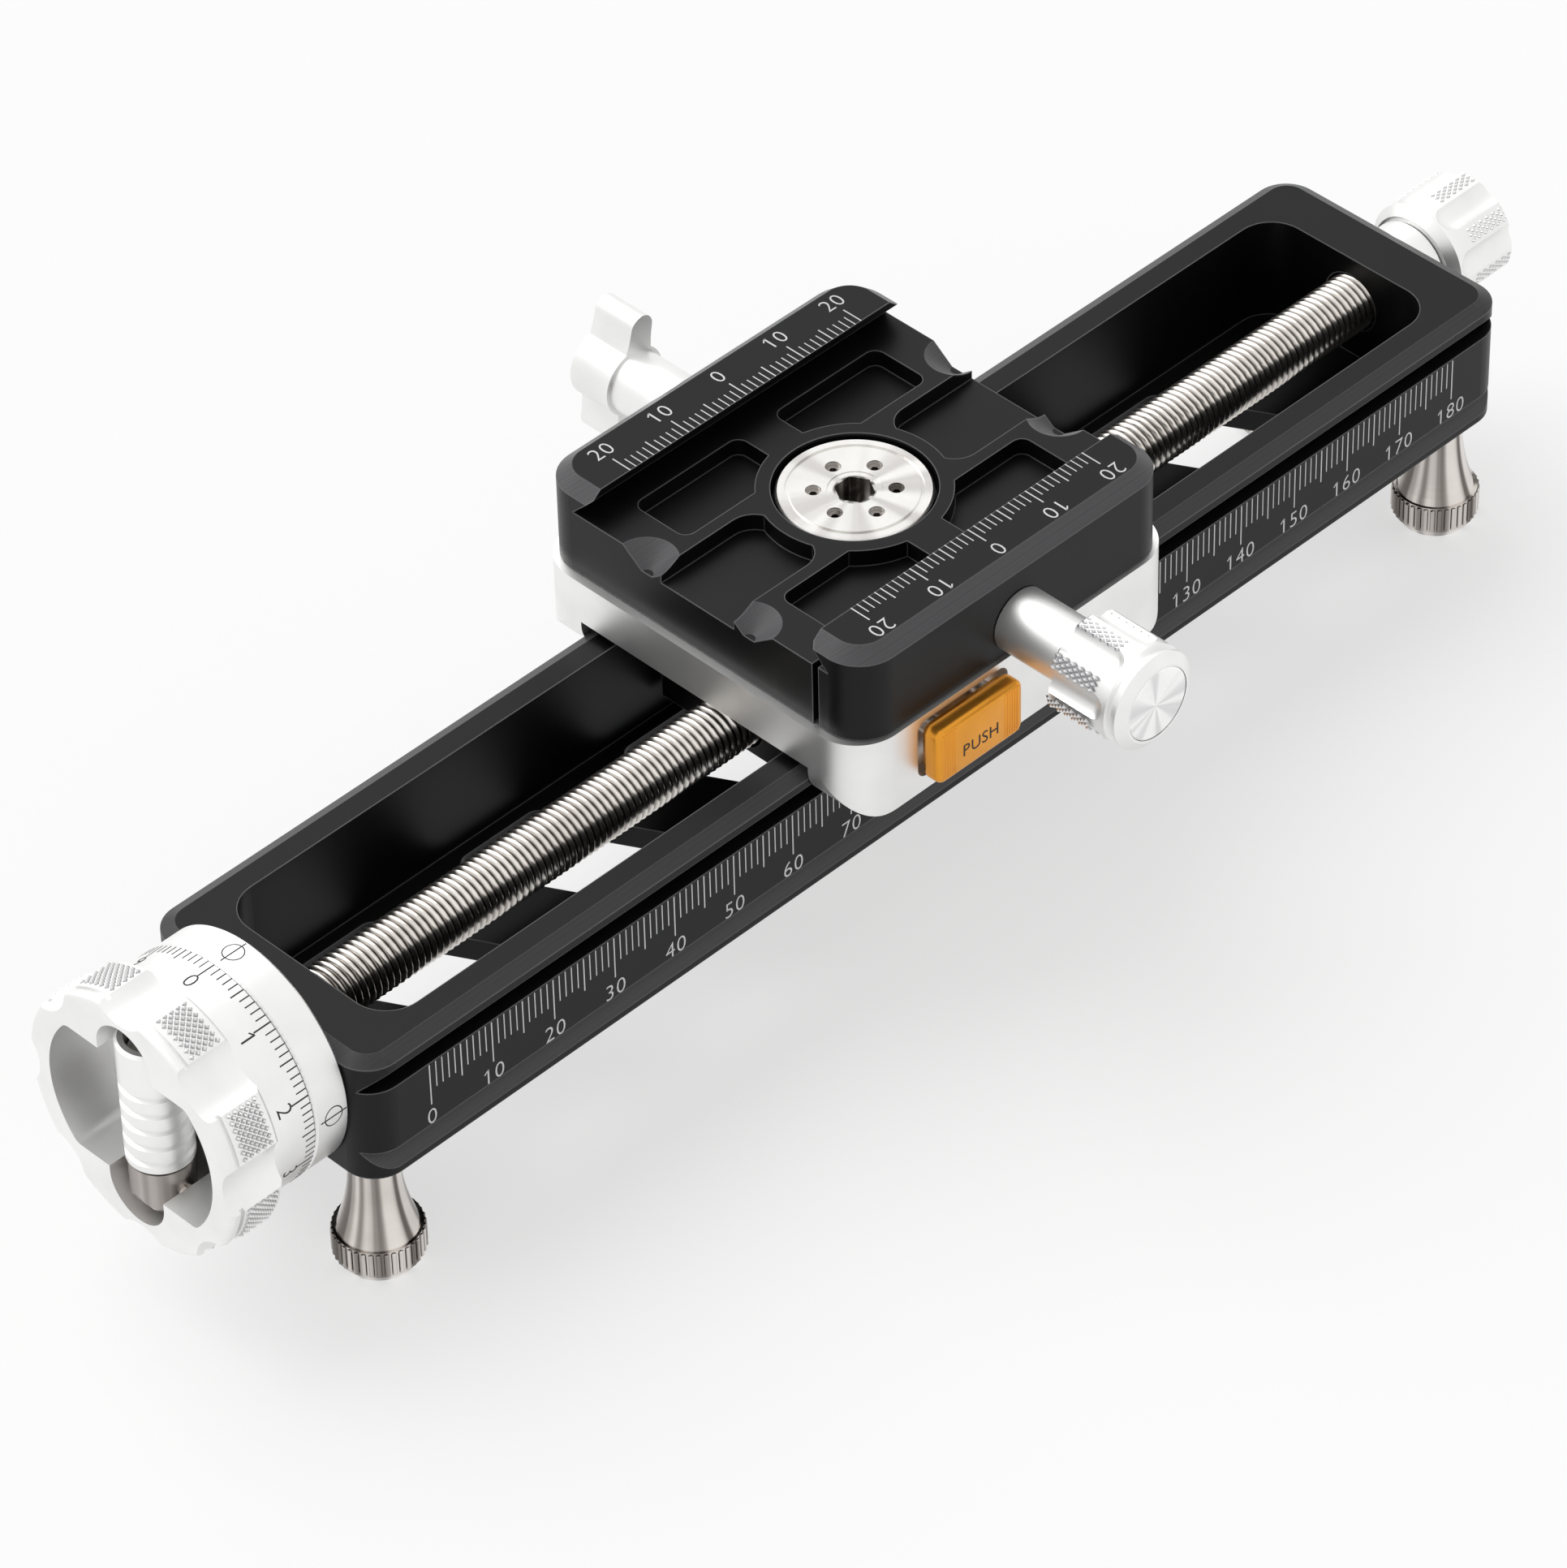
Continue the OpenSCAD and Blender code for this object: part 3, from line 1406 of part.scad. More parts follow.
// One hollow flank of a wing's arm, from the hub outwards or back
function wing_flank(s, side, back = false) =
    let (tip = wing_tip_w / 2, root = neck_r * wing_root_share)
        [for (i = [0 : wing_steps])
            let (t = (back ? wing_steps - i : i) / wing_steps)
                [s * t * (wing_reach - tip),
                    side * (tip + (root - tip) * pow(1 - t, wing_curve))]];

module lock_wing() {
    tip = wing_tip_w / 2;
    color([0.84, 0.84, 0.83])
        lock_axis()
            difference() {
                union() {
                    translate([0, 0, neck_gap])
                        cylinder(neck_l + wing_t / 2 - neck_gap, r = neck_r);
                    translate([0, 0, neck_l])
                        rotate([0, 0, -90 + wing_tilt])
                            linear_extrude(wing_t) {
                                circle(neck_r * wing_hub_share);
                                for (s = [-1, 1]) {
                                    polygon(concat(wing_flank(s, 1), wing_flank(s, -1, true)));
                                    translate([s * (wing_reach - tip), 0])
                                        circle(tip);
                                }
                            }
                }
                translate([0, 0, -cut])
                    cylinder(neck_l + screw_hold + cut, r = lock_screw_r + seat);
            }
}

// Moving jaw on its two guide pins

module clamp_jaw() {
    inner = split_y + split_gap;
    color([0.1, 0.1, 0.105])
        difference() {
            intersection() {
                translate([carriage_x, 0, clamp_z])
                    chamfer_slab(clamp_l, clamp_w, clamp_floor_t + jaw_h, clamp_corner_r,
                        jaw_edge_w, jaw_edge_h);
                translate([carriage_x, 0, 0])
                    along_x(2 * clamp_l, [[-clamp_w, clamp_z - cut], [-inner, clamp_z - cut],
                        [-inner, channel_z], [-moving_lip_y - undercut, channel_z],
                        [-moving_lip_y, channel_z + undercut],
                        [-moving_lip_y, clamp_top + cut], [-clamp_w, clamp_top + cut]]);
            }
            translate([carriage_x, 0, 0])
                for (x = [-1, 1]) {
                    translate([x * guide_pin_x, -split_y, cross_axis_z])
                        rotate([90, 0, 0])
                            cylinder(pin_out + pin_way - split_y, r = guide_pin_r + run_clear);
                    translate([x * spring_x, -split_y, cross_axis_z - spring_drop])
                        rotate([90, 0, 0])
                            cylinder(jaw_spring_out + jaw_spring_way - split_y,
                                r = jaw_spring_r + slide_gap);
                }
            jaw_axis()
                translate([0, 0, -clamp_w / 2])
                    cylinder(clamp_w / 2 + cut, r = bush_r + seat);
        }
}

module clamp_bush() {
    color([0.72, 0.58, 0.3])
        jaw_axis()
            translate([0, 0, split_y + split_gap + slide_gap - clamp_w / 2])
                difference() {
                    cylinder(clamp_w / 2 - split_y - split_gap - slide_gap, r = bush_r);
                    translate([0, 0, -cut])
                        cylinder(clamp_w / 2, r = clamp_screw_r + run_clear);
                }
}

module clamp_screw() {
    low = clamp_screw_in + jaw_close + slide_gap - clamp_w / 2;
    color([0.6, 0.6, 0.62])
        jaw_axis()
            translate([0, 0, low])
                cylinder(neck_l + screw_hold * 2 - low, r = clamp_screw_r);
}

// How far the jaw still closes from its place at rest
jaw_close = 0.8;
// Cap in the clamp knob's end
cap_r = 4.94;
cap_t = 0.8;
cap_play = 0.06;
scallop_phase = 16.8;
// End ring of the clamp knob and the waist before it
end_ring_l = 1.25;
waist_d = 0.3;

module clamp_knob() {
    face = neck_l + clamp_knob_l;
    color([0.84, 0.84, 0.83])
        jaw_axis()
            difference() {
                rotate_extrude()
                    polygon([[0, slide_gap], [neck_r, slide_gap], [neck_r, neck_l],
                        [clamp_knob_r - small_neck_edge, neck_l],
                        [clamp_knob_r, neck_l + small_neck_edge],
                        [clamp_knob_r, face - 2 * end_ring_l],
                        [clamp_knob_r - 2 * waist_d, face - 2 * end_ring_l + waist_d],
                        [clamp_knob_r - 2 * waist_d, face - end_ring_l - waist_d],
                        [clamp_knob_r - waist_d / 2, face - end_ring_l],
                        [clamp_knob_r - waist_d / 2, face - end_ring_l + waist_d],
                        [cap_r + small_neck_edge, face], [0, face]]);
                scallops(small_count, clamp_knob_r - small_depth, small_cut_r, neck_l - cut,
                    face - 2 * end_ring_l - small_cut_r, scallop_phase);
                translate([0, 0, -cut])
                    cylinder(neck_l + screw_hold * 2 + cut, r = clamp_screw_r + seat);
                translate([0, 0, face - cap_t])
                    cylinder(cap_t + cut, r = cap_r + cap_play);
            }
}

module clamp_knob_cap() {
    face = neck_l + clamp_knob_l;
    color([0.88, 0.88, 0.87])
        jaw_axis()
            translate([0, 0, face - cap_t])
                rotate_extrude()
                    polygon([[0, 0], [cap_r, 0], [cap_r, cap_t - cap_play],
                        [cap_r - cap_play * 4, cap_t + cap_play], [0, cap_t + cap_play]]);
}

rail_body();
index_collar();
collar_screws();
front_bearing();
rear_bearing();
rear_bearing_cap();
foot_front_left();
foot_front_right();
foot_rear_left();
foot_rear_right();
lead_screw();
focus_knob();
knob_fixing_screw();
crank_hinge_pin();
crank_arm();
crank_end_screw();
crank_sleeve();
rear_knob();
rear_knob_set_screw();
saddle_plate();
guide_rail_front();
guide_rail_back();
guide_rail_screws();
nut_housing();
nut_housing_screws();
release_button();
release_rods();
release_nut();
release_springs();
pivot_disc();
pivot_screw();
disc_screws();
pivot_washer();
clamp_body();
jaw_guide_pins();
jaw_springs();
lock_bush();
lock_pad();
lock_wing();
lock_screw();
clamp_jaw();
clamp_bush();
clamp_knob();
clamp_screw();
clamp_knob_cap();
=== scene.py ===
"""Looks and fine detail of a macro focusing rail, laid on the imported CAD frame.

Lengths in the classes are millimetres in the CAD frame: the origin is the middle of the
rail's underside, +X runs to the rear knob, the scale is on the -Y side and +Z is up.
"""

import logging
import math
from dataclasses import dataclass, replace
from enum import Enum
from typing import Callable, Iterable, Sequence

import bpy
from mathutils import Matrix, Vector


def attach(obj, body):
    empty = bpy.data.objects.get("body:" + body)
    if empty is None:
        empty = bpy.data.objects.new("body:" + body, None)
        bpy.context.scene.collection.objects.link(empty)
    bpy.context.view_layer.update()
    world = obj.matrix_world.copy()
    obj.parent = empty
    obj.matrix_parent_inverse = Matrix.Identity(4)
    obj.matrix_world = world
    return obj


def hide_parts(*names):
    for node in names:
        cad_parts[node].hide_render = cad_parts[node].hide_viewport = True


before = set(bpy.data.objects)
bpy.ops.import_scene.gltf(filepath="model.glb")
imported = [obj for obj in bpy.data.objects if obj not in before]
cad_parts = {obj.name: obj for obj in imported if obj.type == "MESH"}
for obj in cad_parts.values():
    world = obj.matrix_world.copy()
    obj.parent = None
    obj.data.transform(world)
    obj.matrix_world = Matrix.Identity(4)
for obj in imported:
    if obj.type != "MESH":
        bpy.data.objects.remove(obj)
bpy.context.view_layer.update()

log = logging.getLogger("focusing_rail")
MM = 0.001
TURN = 2 * math.pi

Piece = bpy.types.Object
Tree = bpy.types.NodeTree
Socket = bpy.types.NodeSocket
Pair = tuple[float, float]
Triple = tuple[float, float, float]
Colour = tuple[float, float, float, float]

# Directions in the frame
ALONG = (1, 0, 0)
UP = (0, 0, 1)
# A point on the lead screw's axis, and one on the axis that the clamp turns about
SCREW_AXIS = (0, 0, 11.5)
PIVOT_AXIS = (0.45, 0, 0)
# Where the feet stand
FEET = {"front_left": (-95.4, -14.0), "front_right": (-95.4, 14.0),
        "rear_left": (93.6, -14.0), "rear_right": (93.6, 14.0)}
# How thick laser marks are modelled, half of it above the surface
MARK_THICK = 0.05
# Widths of a scale's lines for tens, fives and ones
LINE_WIDTHS = (0.18, 0.18, 0.15)
# How far apart doubles may be, on most meshes and on lettering and knurling
NEAR = 0.0005
FINE_NEAR = 0.0002
# In shares of the type's size: a capital's height, the step of figures, the gap of letters
CAPITAL = 0.69
FIGURE_STEP = 0.54
LETTER_GAP = 0.13
# The flag of the figure 1, in the same shares: length, thickness and middle, and its slope
FLAG_SIZE = (0.24, 0.08)
FLAG_PLACE = (0.165, 0.585)
FLAG_SLOPE = math.radians(42)


class Grain(Enum):
    """How a surface was cut, and so which way its tool marks run."""

    BLASTED = "blasted"
    MILLED_X = "milled along x"
    TURNED_X = "turned round x"
    TURNED_Y = "turned round y"
    TURNED_Z = "turned round z"
    DRAWN_Z = "brushed up and down"


class Jaw(Enum):
    """The two jaws that carry a scale, each with the body that it rides on."""

    FIXED = "clamp"
    MOVING = "jaw"


# Helpers for meshes

def point(x: float, y: float, z: float) -> Vector:
    """Give a point in metres for a place in millimetres."""
    return Vector((x, y, z)) * MM


def move_to(x: float, y: float, z: float) -> Matrix:
    """Give the matrix that moves the origin to a place in millimetres."""
    return Matrix.Translation(point(x, y, z))


def deselect() -> None:
    """Leave edit mode and deselect every object."""
    if bpy.context.object and bpy.context.object.mode != "OBJECT":
        bpy.ops.object.mode_set(mode="OBJECT")
    bpy.ops.object.select_all(action="DESELECT")


def pick(*objects: Piece) -> None:
    """Select these objects alone, the first one active."""
    deselect()
    for item in objects:
        item.select_set(True)
    bpy.context.view_layer.objects.active = objects[0]


def edit(item: Piece, whole: bool = True) -> None:
    """Open one mesh for editing, with all of it selected or none."""
    pick(item)
    bpy.ops.object.mode_set(mode="EDIT")
    bpy.ops.mesh.select_all(action="SELECT" if whole else "DESELECT")


def close() -> None:
    """Go back from edit mode to object mode."""
    bpy.ops.object.mode_set(mode="OBJECT")


def choose(item: Piece, kind: str, test: Callable[..., bool]) -> None:
    """Open one mesh for editing with some of its corners or edges selected.

    Args:
        item: the mesh.
        kind: VERT for corners, EDGE for edges.
        test: tells if one is meant, from the places of its corners in millimetres.
    """
    edit(item, whole=False)
    bpy.ops.mesh.select_mode(type=kind)
    close()
    corners = item.data.vertices
    if kind == "VERT":
        for corner in corners:
            corner.select = test(corner.co / MM)
    else:
        for edge in item.data.edges:
            edge.select = test(*(corners[i].co / MM for i in edge.vertices))
    bpy.ops.object.mode_set(mode="EDIT")


def tidy(item: Piece, reach: float = NEAR) -> None:
    """Merge doubles and turn all faces outwards.

    Args:
        item: the mesh.
        reach: how far apart doubles may be, in millimetres.
    """
    edit(item)
    bpy.ops.mesh.remove_doubles(threshold=reach * MM)
    bpy.ops.mesh.normals_make_consistent(inside=False)
    close()


def settle(item: Piece) -> Piece:
    """Put an object's place, turn and scale into its mesh, and give it back."""
    pick(item)
    bpy.ops.object.transform_apply(location=True, rotation=True, scale=True)
    return item


def shift(item: Piece, matrix: Matrix) -> Piece:
    """Move an object by a matrix, settle it and give it back."""
    item.matrix_world = matrix @ item.matrix_world
    return settle(item)


def modify(item: Piece, kind: str, **settings: object) -> None:
    """Add one modifier and apply it.

    Args:
        item: the mesh.
        kind: Blender's name of the modifier.
        settings: its settings.
    """
    pick(item)
    modifier = item.modifiers.new(kind.title(), kind)
    for key, value in settings.items():
        setattr(modifier, key, value)
    bpy.ops.object.modifier_apply(modifier=modifier.name)


def repeat(item: Piece, count: int, step: Triple) -> None:
    """Repeat a mesh in a row.

    Args:
        item: the mesh.
        count: how many there are in all.
        step: from one to the next, in millimetres.
    """
    modify(item, "ARRAY", count=count, use_relative_offset=False,
           use_constant_offset=True, constant_offset_displace=point(*step))


def join(name: str, parts: Sequence[Piece]) -> Piece:
    """Join meshes into one piece.

    Args:
        name: the piece's name.
        parts: what is joined.

    Returns:
        The piece.
    """
    pick(*parts)
    if len(parts) > 1:
        bpy.ops.object.join()
    piece = bpy.context.object
    piece.name = piece.data.name = name
    return settle(piece)


def ring(item: Piece, count: int, centre: Triple, axis: Triple) -> None:
    """Copy a mesh evenly round an axis.

    Args:
        item: the mesh, already in its first place.
        count: how many there are in all.
        centre: a point on the axis, in millimetres.
        axis: the axis's direction.
    """
    edit(item)
    bpy.ops.mesh.spin(steps=count - 1, dupli=True, angle=TURN * (count - 1) / count,
                      center=point(*centre), axis=axis)
    close()


def plate(width: float, length: float, thick: float = MARK_THICK) -> Piece:
    """Make one thin mark that lies flat, centred, with its top at half its thickness.

    Args:
        width: along X, in millimetres.
        length: along Y, in millimetres.
        thick: along Z, in millimetres.

    Returns:
        The mark, closed on all sides.
    """
    deselect()
    bpy.ops.mesh.primitive_plane_add(size=MM, location=point(0, 0, -thick / 2))
    mark = bpy.context.object
    mark.scale = (width, length, 1)
    settle(mark)
    edit(mark)
    bpy.ops.mesh.extrude_region_move(TRANSFORM_OT_translate={"value": (0, 0, thick * MM)})
    close()
    tidy(mark)
    return mark


def scale_lines(length: int, sizes: Triple, start: int = 0) -> list[Piece]:
    """Make a flat millimetre scale's lines, hanging down from Y = 0.

    Args:
        length: the last line, in millimetres.
        sizes: lengths of the lines for tens, fives and ones.
        start: the first line, in millimetres.

    Returns:
        The lines as three meshes.
    """
    rows = []
    # The ones come in fours between the fives
    for width, size, first, step in zip(LINE_WIDTHS, sizes, (0, 5, 1), (10, 10, 5)):
        line = plate(width, size)
        shift(line, move_to(start + first, -size / 2, 0))
        if step == 5:
            repeat(line, 4, (1, 0, 0))
        count = (length - start) // step + (1 if first == 0 else 0)
        repeat(line, count, (step, 0, 0))
        rows.append(line)
    return rows


def letter(sign: str, em: float, weight: float) -> Piece:
    """Make one upright sans letter or figure, flat, its foot on X.

    Args:
        sign: the letter.
        em: the type's size in millimetres.
        weight: how far its outline is moved outwards, as a share of the size.

    Returns:
        The letter as a mesh. The built-in type's 1 is a bare bar, so it gets its flag here.
    """
    deselect()
    bpy.ops.object.text_add()
    made = bpy.context.object
    made.data.body = sign
    made.data.size = em * MM
    made.data.extrude = MARK_THICK * MM / 2
    made.data.offset = weight * em * MM
    made.data.resolution_u = 3
    pick(made)
    bpy.ops.object.convert(target="MESH")
    made = bpy.context.object
    tidy(made, FINE_NEAR)
    if sign == "1":
        long, wide = FLAG_SIZE
        flag = plate(long * em, (wide + 2 * weight) * em)
        shift(flag, move_to(FLAG_PLACE[0] * em, FLAG_PLACE[1] * em, 0)
              @ Matrix.Rotation(FLAG_SLOPE, 4, "Z"))
        made = join("figure", [made, flag])
    return made


def words(text: str, height: float, place: Triple = (0, 0, 0), turn: float = 0.0,
          weight: float = -0.012) -> Piece:
    """Make upright sans lettering that lies flat, centred on its place.

    Args:
        text: what it says.
        height: of a capital letter, in millimetres.
        place: the middle of the word, in millimetres.
        turn: about Z, in radians.
        weight: how far the outlines are moved outwards, as a share of the size.

    Returns:
        The lettering as one mesh.
    """
    em = height / CAPITAL
    row, reach = [], 0.0
    for sign in text:
        made = letter(sign, em, weight)
        low = min(v.co.x for v in made.data.vertices) / MM
        high = max(v.co.x for v in made.data.vertices) / MM
        # Figures share one width, letters follow each other at an even gap
        start = reach - low if sign.isalpha() else reach
        shift(made, move_to(start, -height / 2, 0))
        reach += high - low + LETTER_GAP * em if sign.isalpha() else FIGURE_STEP * em
        row.append(made)
    label = join("lettering", row)
    places = [v.co.x for v in label.data.vertices]
    middle = (min(places) + max(places)) / 2
    return shift(label, move_to(*place) @ Matrix.Rotation(turn, 4, "Z")
                 @ Matrix.Translation((-middle, 0, 0)))


@dataclass(frozen=True)
class Barrel:
    """A cylinder that flat work is wrapped on.

    Attributes:
        centre: a point on its axis, where the flat work has v = 0, in millimetres.
        along: the axis's direction, which v follows.
        zero: the direction from the axis to where u = 0.
        radius: in millimetres.
    """

    centre: Triple
    along: Triple
    zero: Triple
    radius: float

    def wrap(self, item: Piece) -> None:
        """Lay a flat mesh on the cylinder: its X goes round, its Y along, its Z outwards."""
        along, zero = Vector(self.along), Vector(self.zero)
        side = along.cross(zero)
        for vertex in item.data.vertices:
            u, v, h = vertex.co
            angle, reach = u / (self.radius * MM), self.radius * MM + h
            vertex.co = (point(*self.centre) + along * v
                         + (zero * math.cos(angle) + side * math.sin(angle)) * reach)
        item.data.update()


def round_screw(x: float, radius: float, zero: Triple = UP) -> Barrel:
    """Give a cylinder round the lead screw's axis, on which flat work starts at x."""
    return Barrel((x, *SCREW_AXIS[1:]), ALONG, zero, radius)


# Finishes

def linear(code: str) -> Colour:
    """Turn an sRGB hex value into a linear colour, by the standard's own formula."""
    parts = [int(code[i:i + 2], 16) / 255 for i in (1, 3, 5)]
    red, green, blue = (p / 12.92 if p <= 0.04045 else ((p + 0.055) / 1.055) ** 2.4 for p in parts)
    return red, green, blue, 1.0


def blank(owner: bpy.types.Material | bpy.types.World) -> Tree:
    """Give a material's or world's node tree, switched on and emptied."""
    owner.use_nodes = True
    owner.node_tree.nodes.clear()
    return owner.node_tree


def node(tree: Tree, kind: str, settings: dict[str, object] | None = None,
         **links: object) -> bpy.types.Node:
    """Add one shader node.

    Args:
        tree: the material's node tree.
        kind: the node's type.
        settings: the node's own settings.
        links: for each input, by name with _ for a space or by i and its number, a value
            or an output socket.

    Returns:
        The node.
    """
    made = tree.nodes.new(kind)
    for key, value in (settings or {}).items():
        setattr(made, key, value)
    for key, value in links.items():
        socket = made.inputs[int(key[1:]) if key[0] == "i" and key[1:].isdigit()
                             else key.replace("_", " ")]
        if isinstance(value, Socket):
            tree.links.new(value, socket)
        else:
            socket.default_value = value
    return made


# Size of the soft colour patches, in millimetres
CLOUD_SIZE = 9.0
# A broken corner is 0.2 mm wide, and its painted highlight is drawn wider so that it shows
CORNER_WIDTH = 0.28
# How far the roughness goes up and down with the tool marks, and how strongly they bump
SWING = 0.05
STRENGTH = 0.6
# How many painted reflection streaks there are round a turned surface, as a noise scale
REFLECTION_STREAKS = 1.9


@dataclass(frozen=True)
class Finish:
    """A surface as it was made, with the highlights, shade and reflection streaks that are painted
    on some.

    Attributes:
        name: its material's name.
        colour: its sRGB colour.
        cloud: the colour that it drifts to in soft patches.
        roughness: in the middle of its range.
        grain: how it was cut.
        pitch: spacing of its tool marks in millimetres.
        depth: how deep the marks look, in millimetres.
        metallic: 0 for a dyed oxide layer or a laser mark, 1 for bare or clear coated metal.
        specular: the shader's specular level.
        edge: the colour of the highlight painted on its bevels and broken corners, or nothing where
            there is none.
        centre: a point on the axis that it was turned about, in millimetres.
        valley: the colour of shade painted at the bottom of its grooves, or nothing where there is
            none.
        reach: from the axis to where that painted shade is full, at the bottom, and to where it
            ends, in millimetres.
        streak: the colour of the broad dull streaks of reflection painted round a turned surface,
            or nothing.
    """

    name: str
    colour: str
    cloud: str
    roughness: float
    grain: Grain
    pitch: float
    depth: float
    metallic: float = 1.0
    specular: float = 0.5
    edge: str = ""
    centre: Triple = (0, 0, 0)
    valley: str = ""
    reach: Pair = (0, 1)
    streak: str = ""

    def axes(self, tree: Tree, place: Socket) -> tuple[Socket, ...]:
        """Measure a turned surface from its own axis.

        Args:
            tree: the material's node tree.
            place: Object coordinates.

        Returns:
            The distance along the axis, the distance from it and the direction away from it.
        """
        moved = node(tree, "ShaderNodeMapping", Vector=place,
                     Location=tuple(-point(*self.centre)))
        parts = node(tree, "ShaderNodeSeparateXYZ", Vector=moved.outputs[0])
        order = {Grain.TURNED_X: (0, 1, 2), Grain.TURNED_Y: (1, 0, 2), Grain.TURNED_Z: (2, 0, 1)}
        along, *around = (parts.outputs[i] for i in order[self.grain])
        arm = node(tree, "ShaderNodeCombineXYZ", i0=around[0], i1=around[1])
        far = node(tree, "ShaderNodeVectorMath", {"operation": "LENGTH"}, i0=arm.outputs[0])
        away = node(tree, "ShaderNodeVectorMath", {"operation": "NORMALIZE"}, i0=arm.outputs[0])
        return along, far.outputs["Value"], away.outputs["Vector"]

    def marks(self, tree: Tree, place: Socket) -> Socket:
        """Make the height pattern of the tool marks.

        Args:
            tree: the material's node tree.
            place: Object coordinates.

        Returns:
            The pattern, from 0 to 1.
        """
        scale = 1 / (self.pitch * MM)
        if self.grain is Grain.BLASTED:
            return node(tree, "ShaderNodeTexNoise", Vector=place, Scale=scale,
                        Detail=2.0, Roughness=0.6).outputs["Fac"]
        if self.grain in (Grain.MILLED_X, Grain.DRAWN_Z):
            x, y, z = node(tree, "ShaderNodeSeparateXYZ", Vector=place).outputs
            one, two = (y, z) if self.grain is Grain.MILLED_X else (x, y)
        else:
            one, two, _ = self.axes(tree, place)
        across = node(tree, "ShaderNodeMath", {"operation": "ADD"}, i0=one, i1=two)
        return node(tree, "ShaderNodeTexNoise", {"noise_dimensions": "1D"},
                    W=across.outputs[0], Scale=scale, Detail=2.0, Roughness=0.6).outputs["Fac"]

    @staticmethod
    def bevels(tree: Tree, space: bpy.types.Node, marks: Socket) -> Socket:
        """Find the sloping bevels by the height of their normals, where a highlight is painted.

        Args:
            tree: the material's node tree.
            space: its Texture Coordinate node.
            marks: the height pattern of the tool marks.

        Returns:
            How strong the painted highlight on the bevel is, from 0 to 1.
        """
        axes = node(tree, "ShaderNodeSeparateXYZ", Vector=space.outputs["Normal"])
        square = node(tree, "ShaderNodeMath", {"operation": "MULTIPLY"},
                      i0=axes.outputs[2], i1=axes.outputs[2])
        # 0.5 where a face slopes at 45 degrees, 0 where it is level or upright
        level = node(tree, "ShaderNodeMath", {"operation": "PINGPONG"},
                     i0=square.outputs[0], i1=0.5)
        bevel = node(tree, "ShaderNodeMapRange", {"interpolation_type": "SMOOTHSTEP"},
                     Value=level.outputs[0], From_Min=0.16, From_Max=0.34, To_Max=0.62)
        # The painted highlight grows and fades with the tool marks
        highlight_grain = node(tree, "ShaderNodeMath", {"operation": "MULTIPLY_ADD"},
                    i0=marks, i1=0.6, i2=0.5)
        return node(tree, "ShaderNodeMath", {"operation": "MULTIPLY", "use_clamp": True},
                    i0=bevel.outputs[0], i1=highlight_grain.outputs[0]).outputs[0]

    @staticmethod
    def corners(tree: Tree) -> Socket:
        """Find the fine line of each broken corner, where a highlight is painted.

        Args:
            tree: the material's node tree.

        Returns:
            1 on the line and 0 away from it.
        """
        rounded = node(tree, "ShaderNodeBevel", {"samples": 6}, Radius=CORNER_WIDTH * MM)
        flat = node(tree, "ShaderNodeNewGeometry")
        turn = node(tree, "ShaderNodeVectorMath", {"operation": "DOT_PRODUCT"},
                    i0=rounded.outputs[0], i1=flat.outputs["Normal"])
        return node(tree, "ShaderNodeMapRange", Value=turn.outputs["Value"],
                    From_Min=0.985, From_Max=0.9).outputs[0]

    def layers(self, tree: Tree, space: bpy.types.Node,
               marks: Socket) -> list[tuple[Socket, Colour | None, Colour | None]]:
        """List the layers of the colour, from the bottom up.

        Args:
            tree: the material's node tree.
            space: its Texture Coordinate node.
            marks: the height pattern of the tool marks.

        Returns:
            Each layer's share and its colours at the shares 0 and 1, where None stands for
            what lies below it.
        """
        place = space.outputs["Object"]
        cloud = node(tree, "ShaderNodeTexNoise", Vector=place, Scale=1 / (CLOUD_SIZE * MM),
                     Detail=3.0)
        drift = node(tree, "ShaderNodeMapRange", Value=cloud.outputs["Fac"],
                     From_Min=0.35, From_Max=0.65)
        made = [(drift.outputs[0], linear(self.colour), linear(self.cloud))]
        # Painted highlight: bevels and broken corners turn towards the lighter edge colour
        if self.edge:
            made += [(share, None, linear(self.edge))
                     for share in (self.bevels(tree, space, marks), self.corners(tree))]
        # Painted shade: darker towards the bottom of the grooves, fading out further up
        if self.valley:
            level = node(tree, "ShaderNodeMapRange", Value=self.axes(tree, place)[1],
                         From_Min=self.reach[0] * MM, From_Max=self.reach[1] * MM)
            made.append((level.outputs[0], linear(self.valley), None))
        if self.streak:
            # Painted reflection: light and dull streaks, a few to the turn, as a lathe's fine rings
            # spread each highlight
            rays = node(tree, "ShaderNodeTexNoise", Vector=self.axes(tree, place)[2],
                        Scale=REFLECTION_STREAKS, Detail=1.5)
            share = node(tree, "ShaderNodeMapRange", {"interpolation_type": "SMOOTHSTEP"},
                         Value=rays.outputs["Fac"], From_Min=0.38, From_Max=0.6)
            made.append((share.outputs[0], None, linear(self.streak)))
        return made

    def material(self) -> bpy.types.Material:
        """Build the material once and give it again when asked.

        Returns:
            The material.
        """
        found = bpy.data.materials.get(self.name)
        if found:
            return found
        material = bpy.data.materials.new(self.name)
        tree = blank(material)
        space = node(tree, "ShaderNodeTexCoord")
        marks = self.marks(tree, space.outputs["Object"])
        colour = None
        for share, low, high in self.layers(tree, space, marks):
            colour = node(tree, "ShaderNodeMix", {"data_type": "RGBA"}, Factor=share,
                          i6=low or colour, i7=high or colour).outputs[2]
        gloss = node(tree, "ShaderNodeMapRange", Value=marks, To_Min=self.roughness - SWING,
                     To_Max=self.roughness + SWING).outputs[0]
        bump = node(tree, "ShaderNodeBump", Height=marks, Strength=STRENGTH,
                    Distance=self.depth * MM)
        surface = node(tree, "ShaderNodeBsdfPrincipled", Base_Color=colour, Roughness=gloss,
                       Metallic=self.metallic, Specular_IOR_Level=self.specular,
                       Normal=bump.outputs[0])
        node(tree, "ShaderNodeOutputMaterial", Surface=surface.outputs[0])
        return material

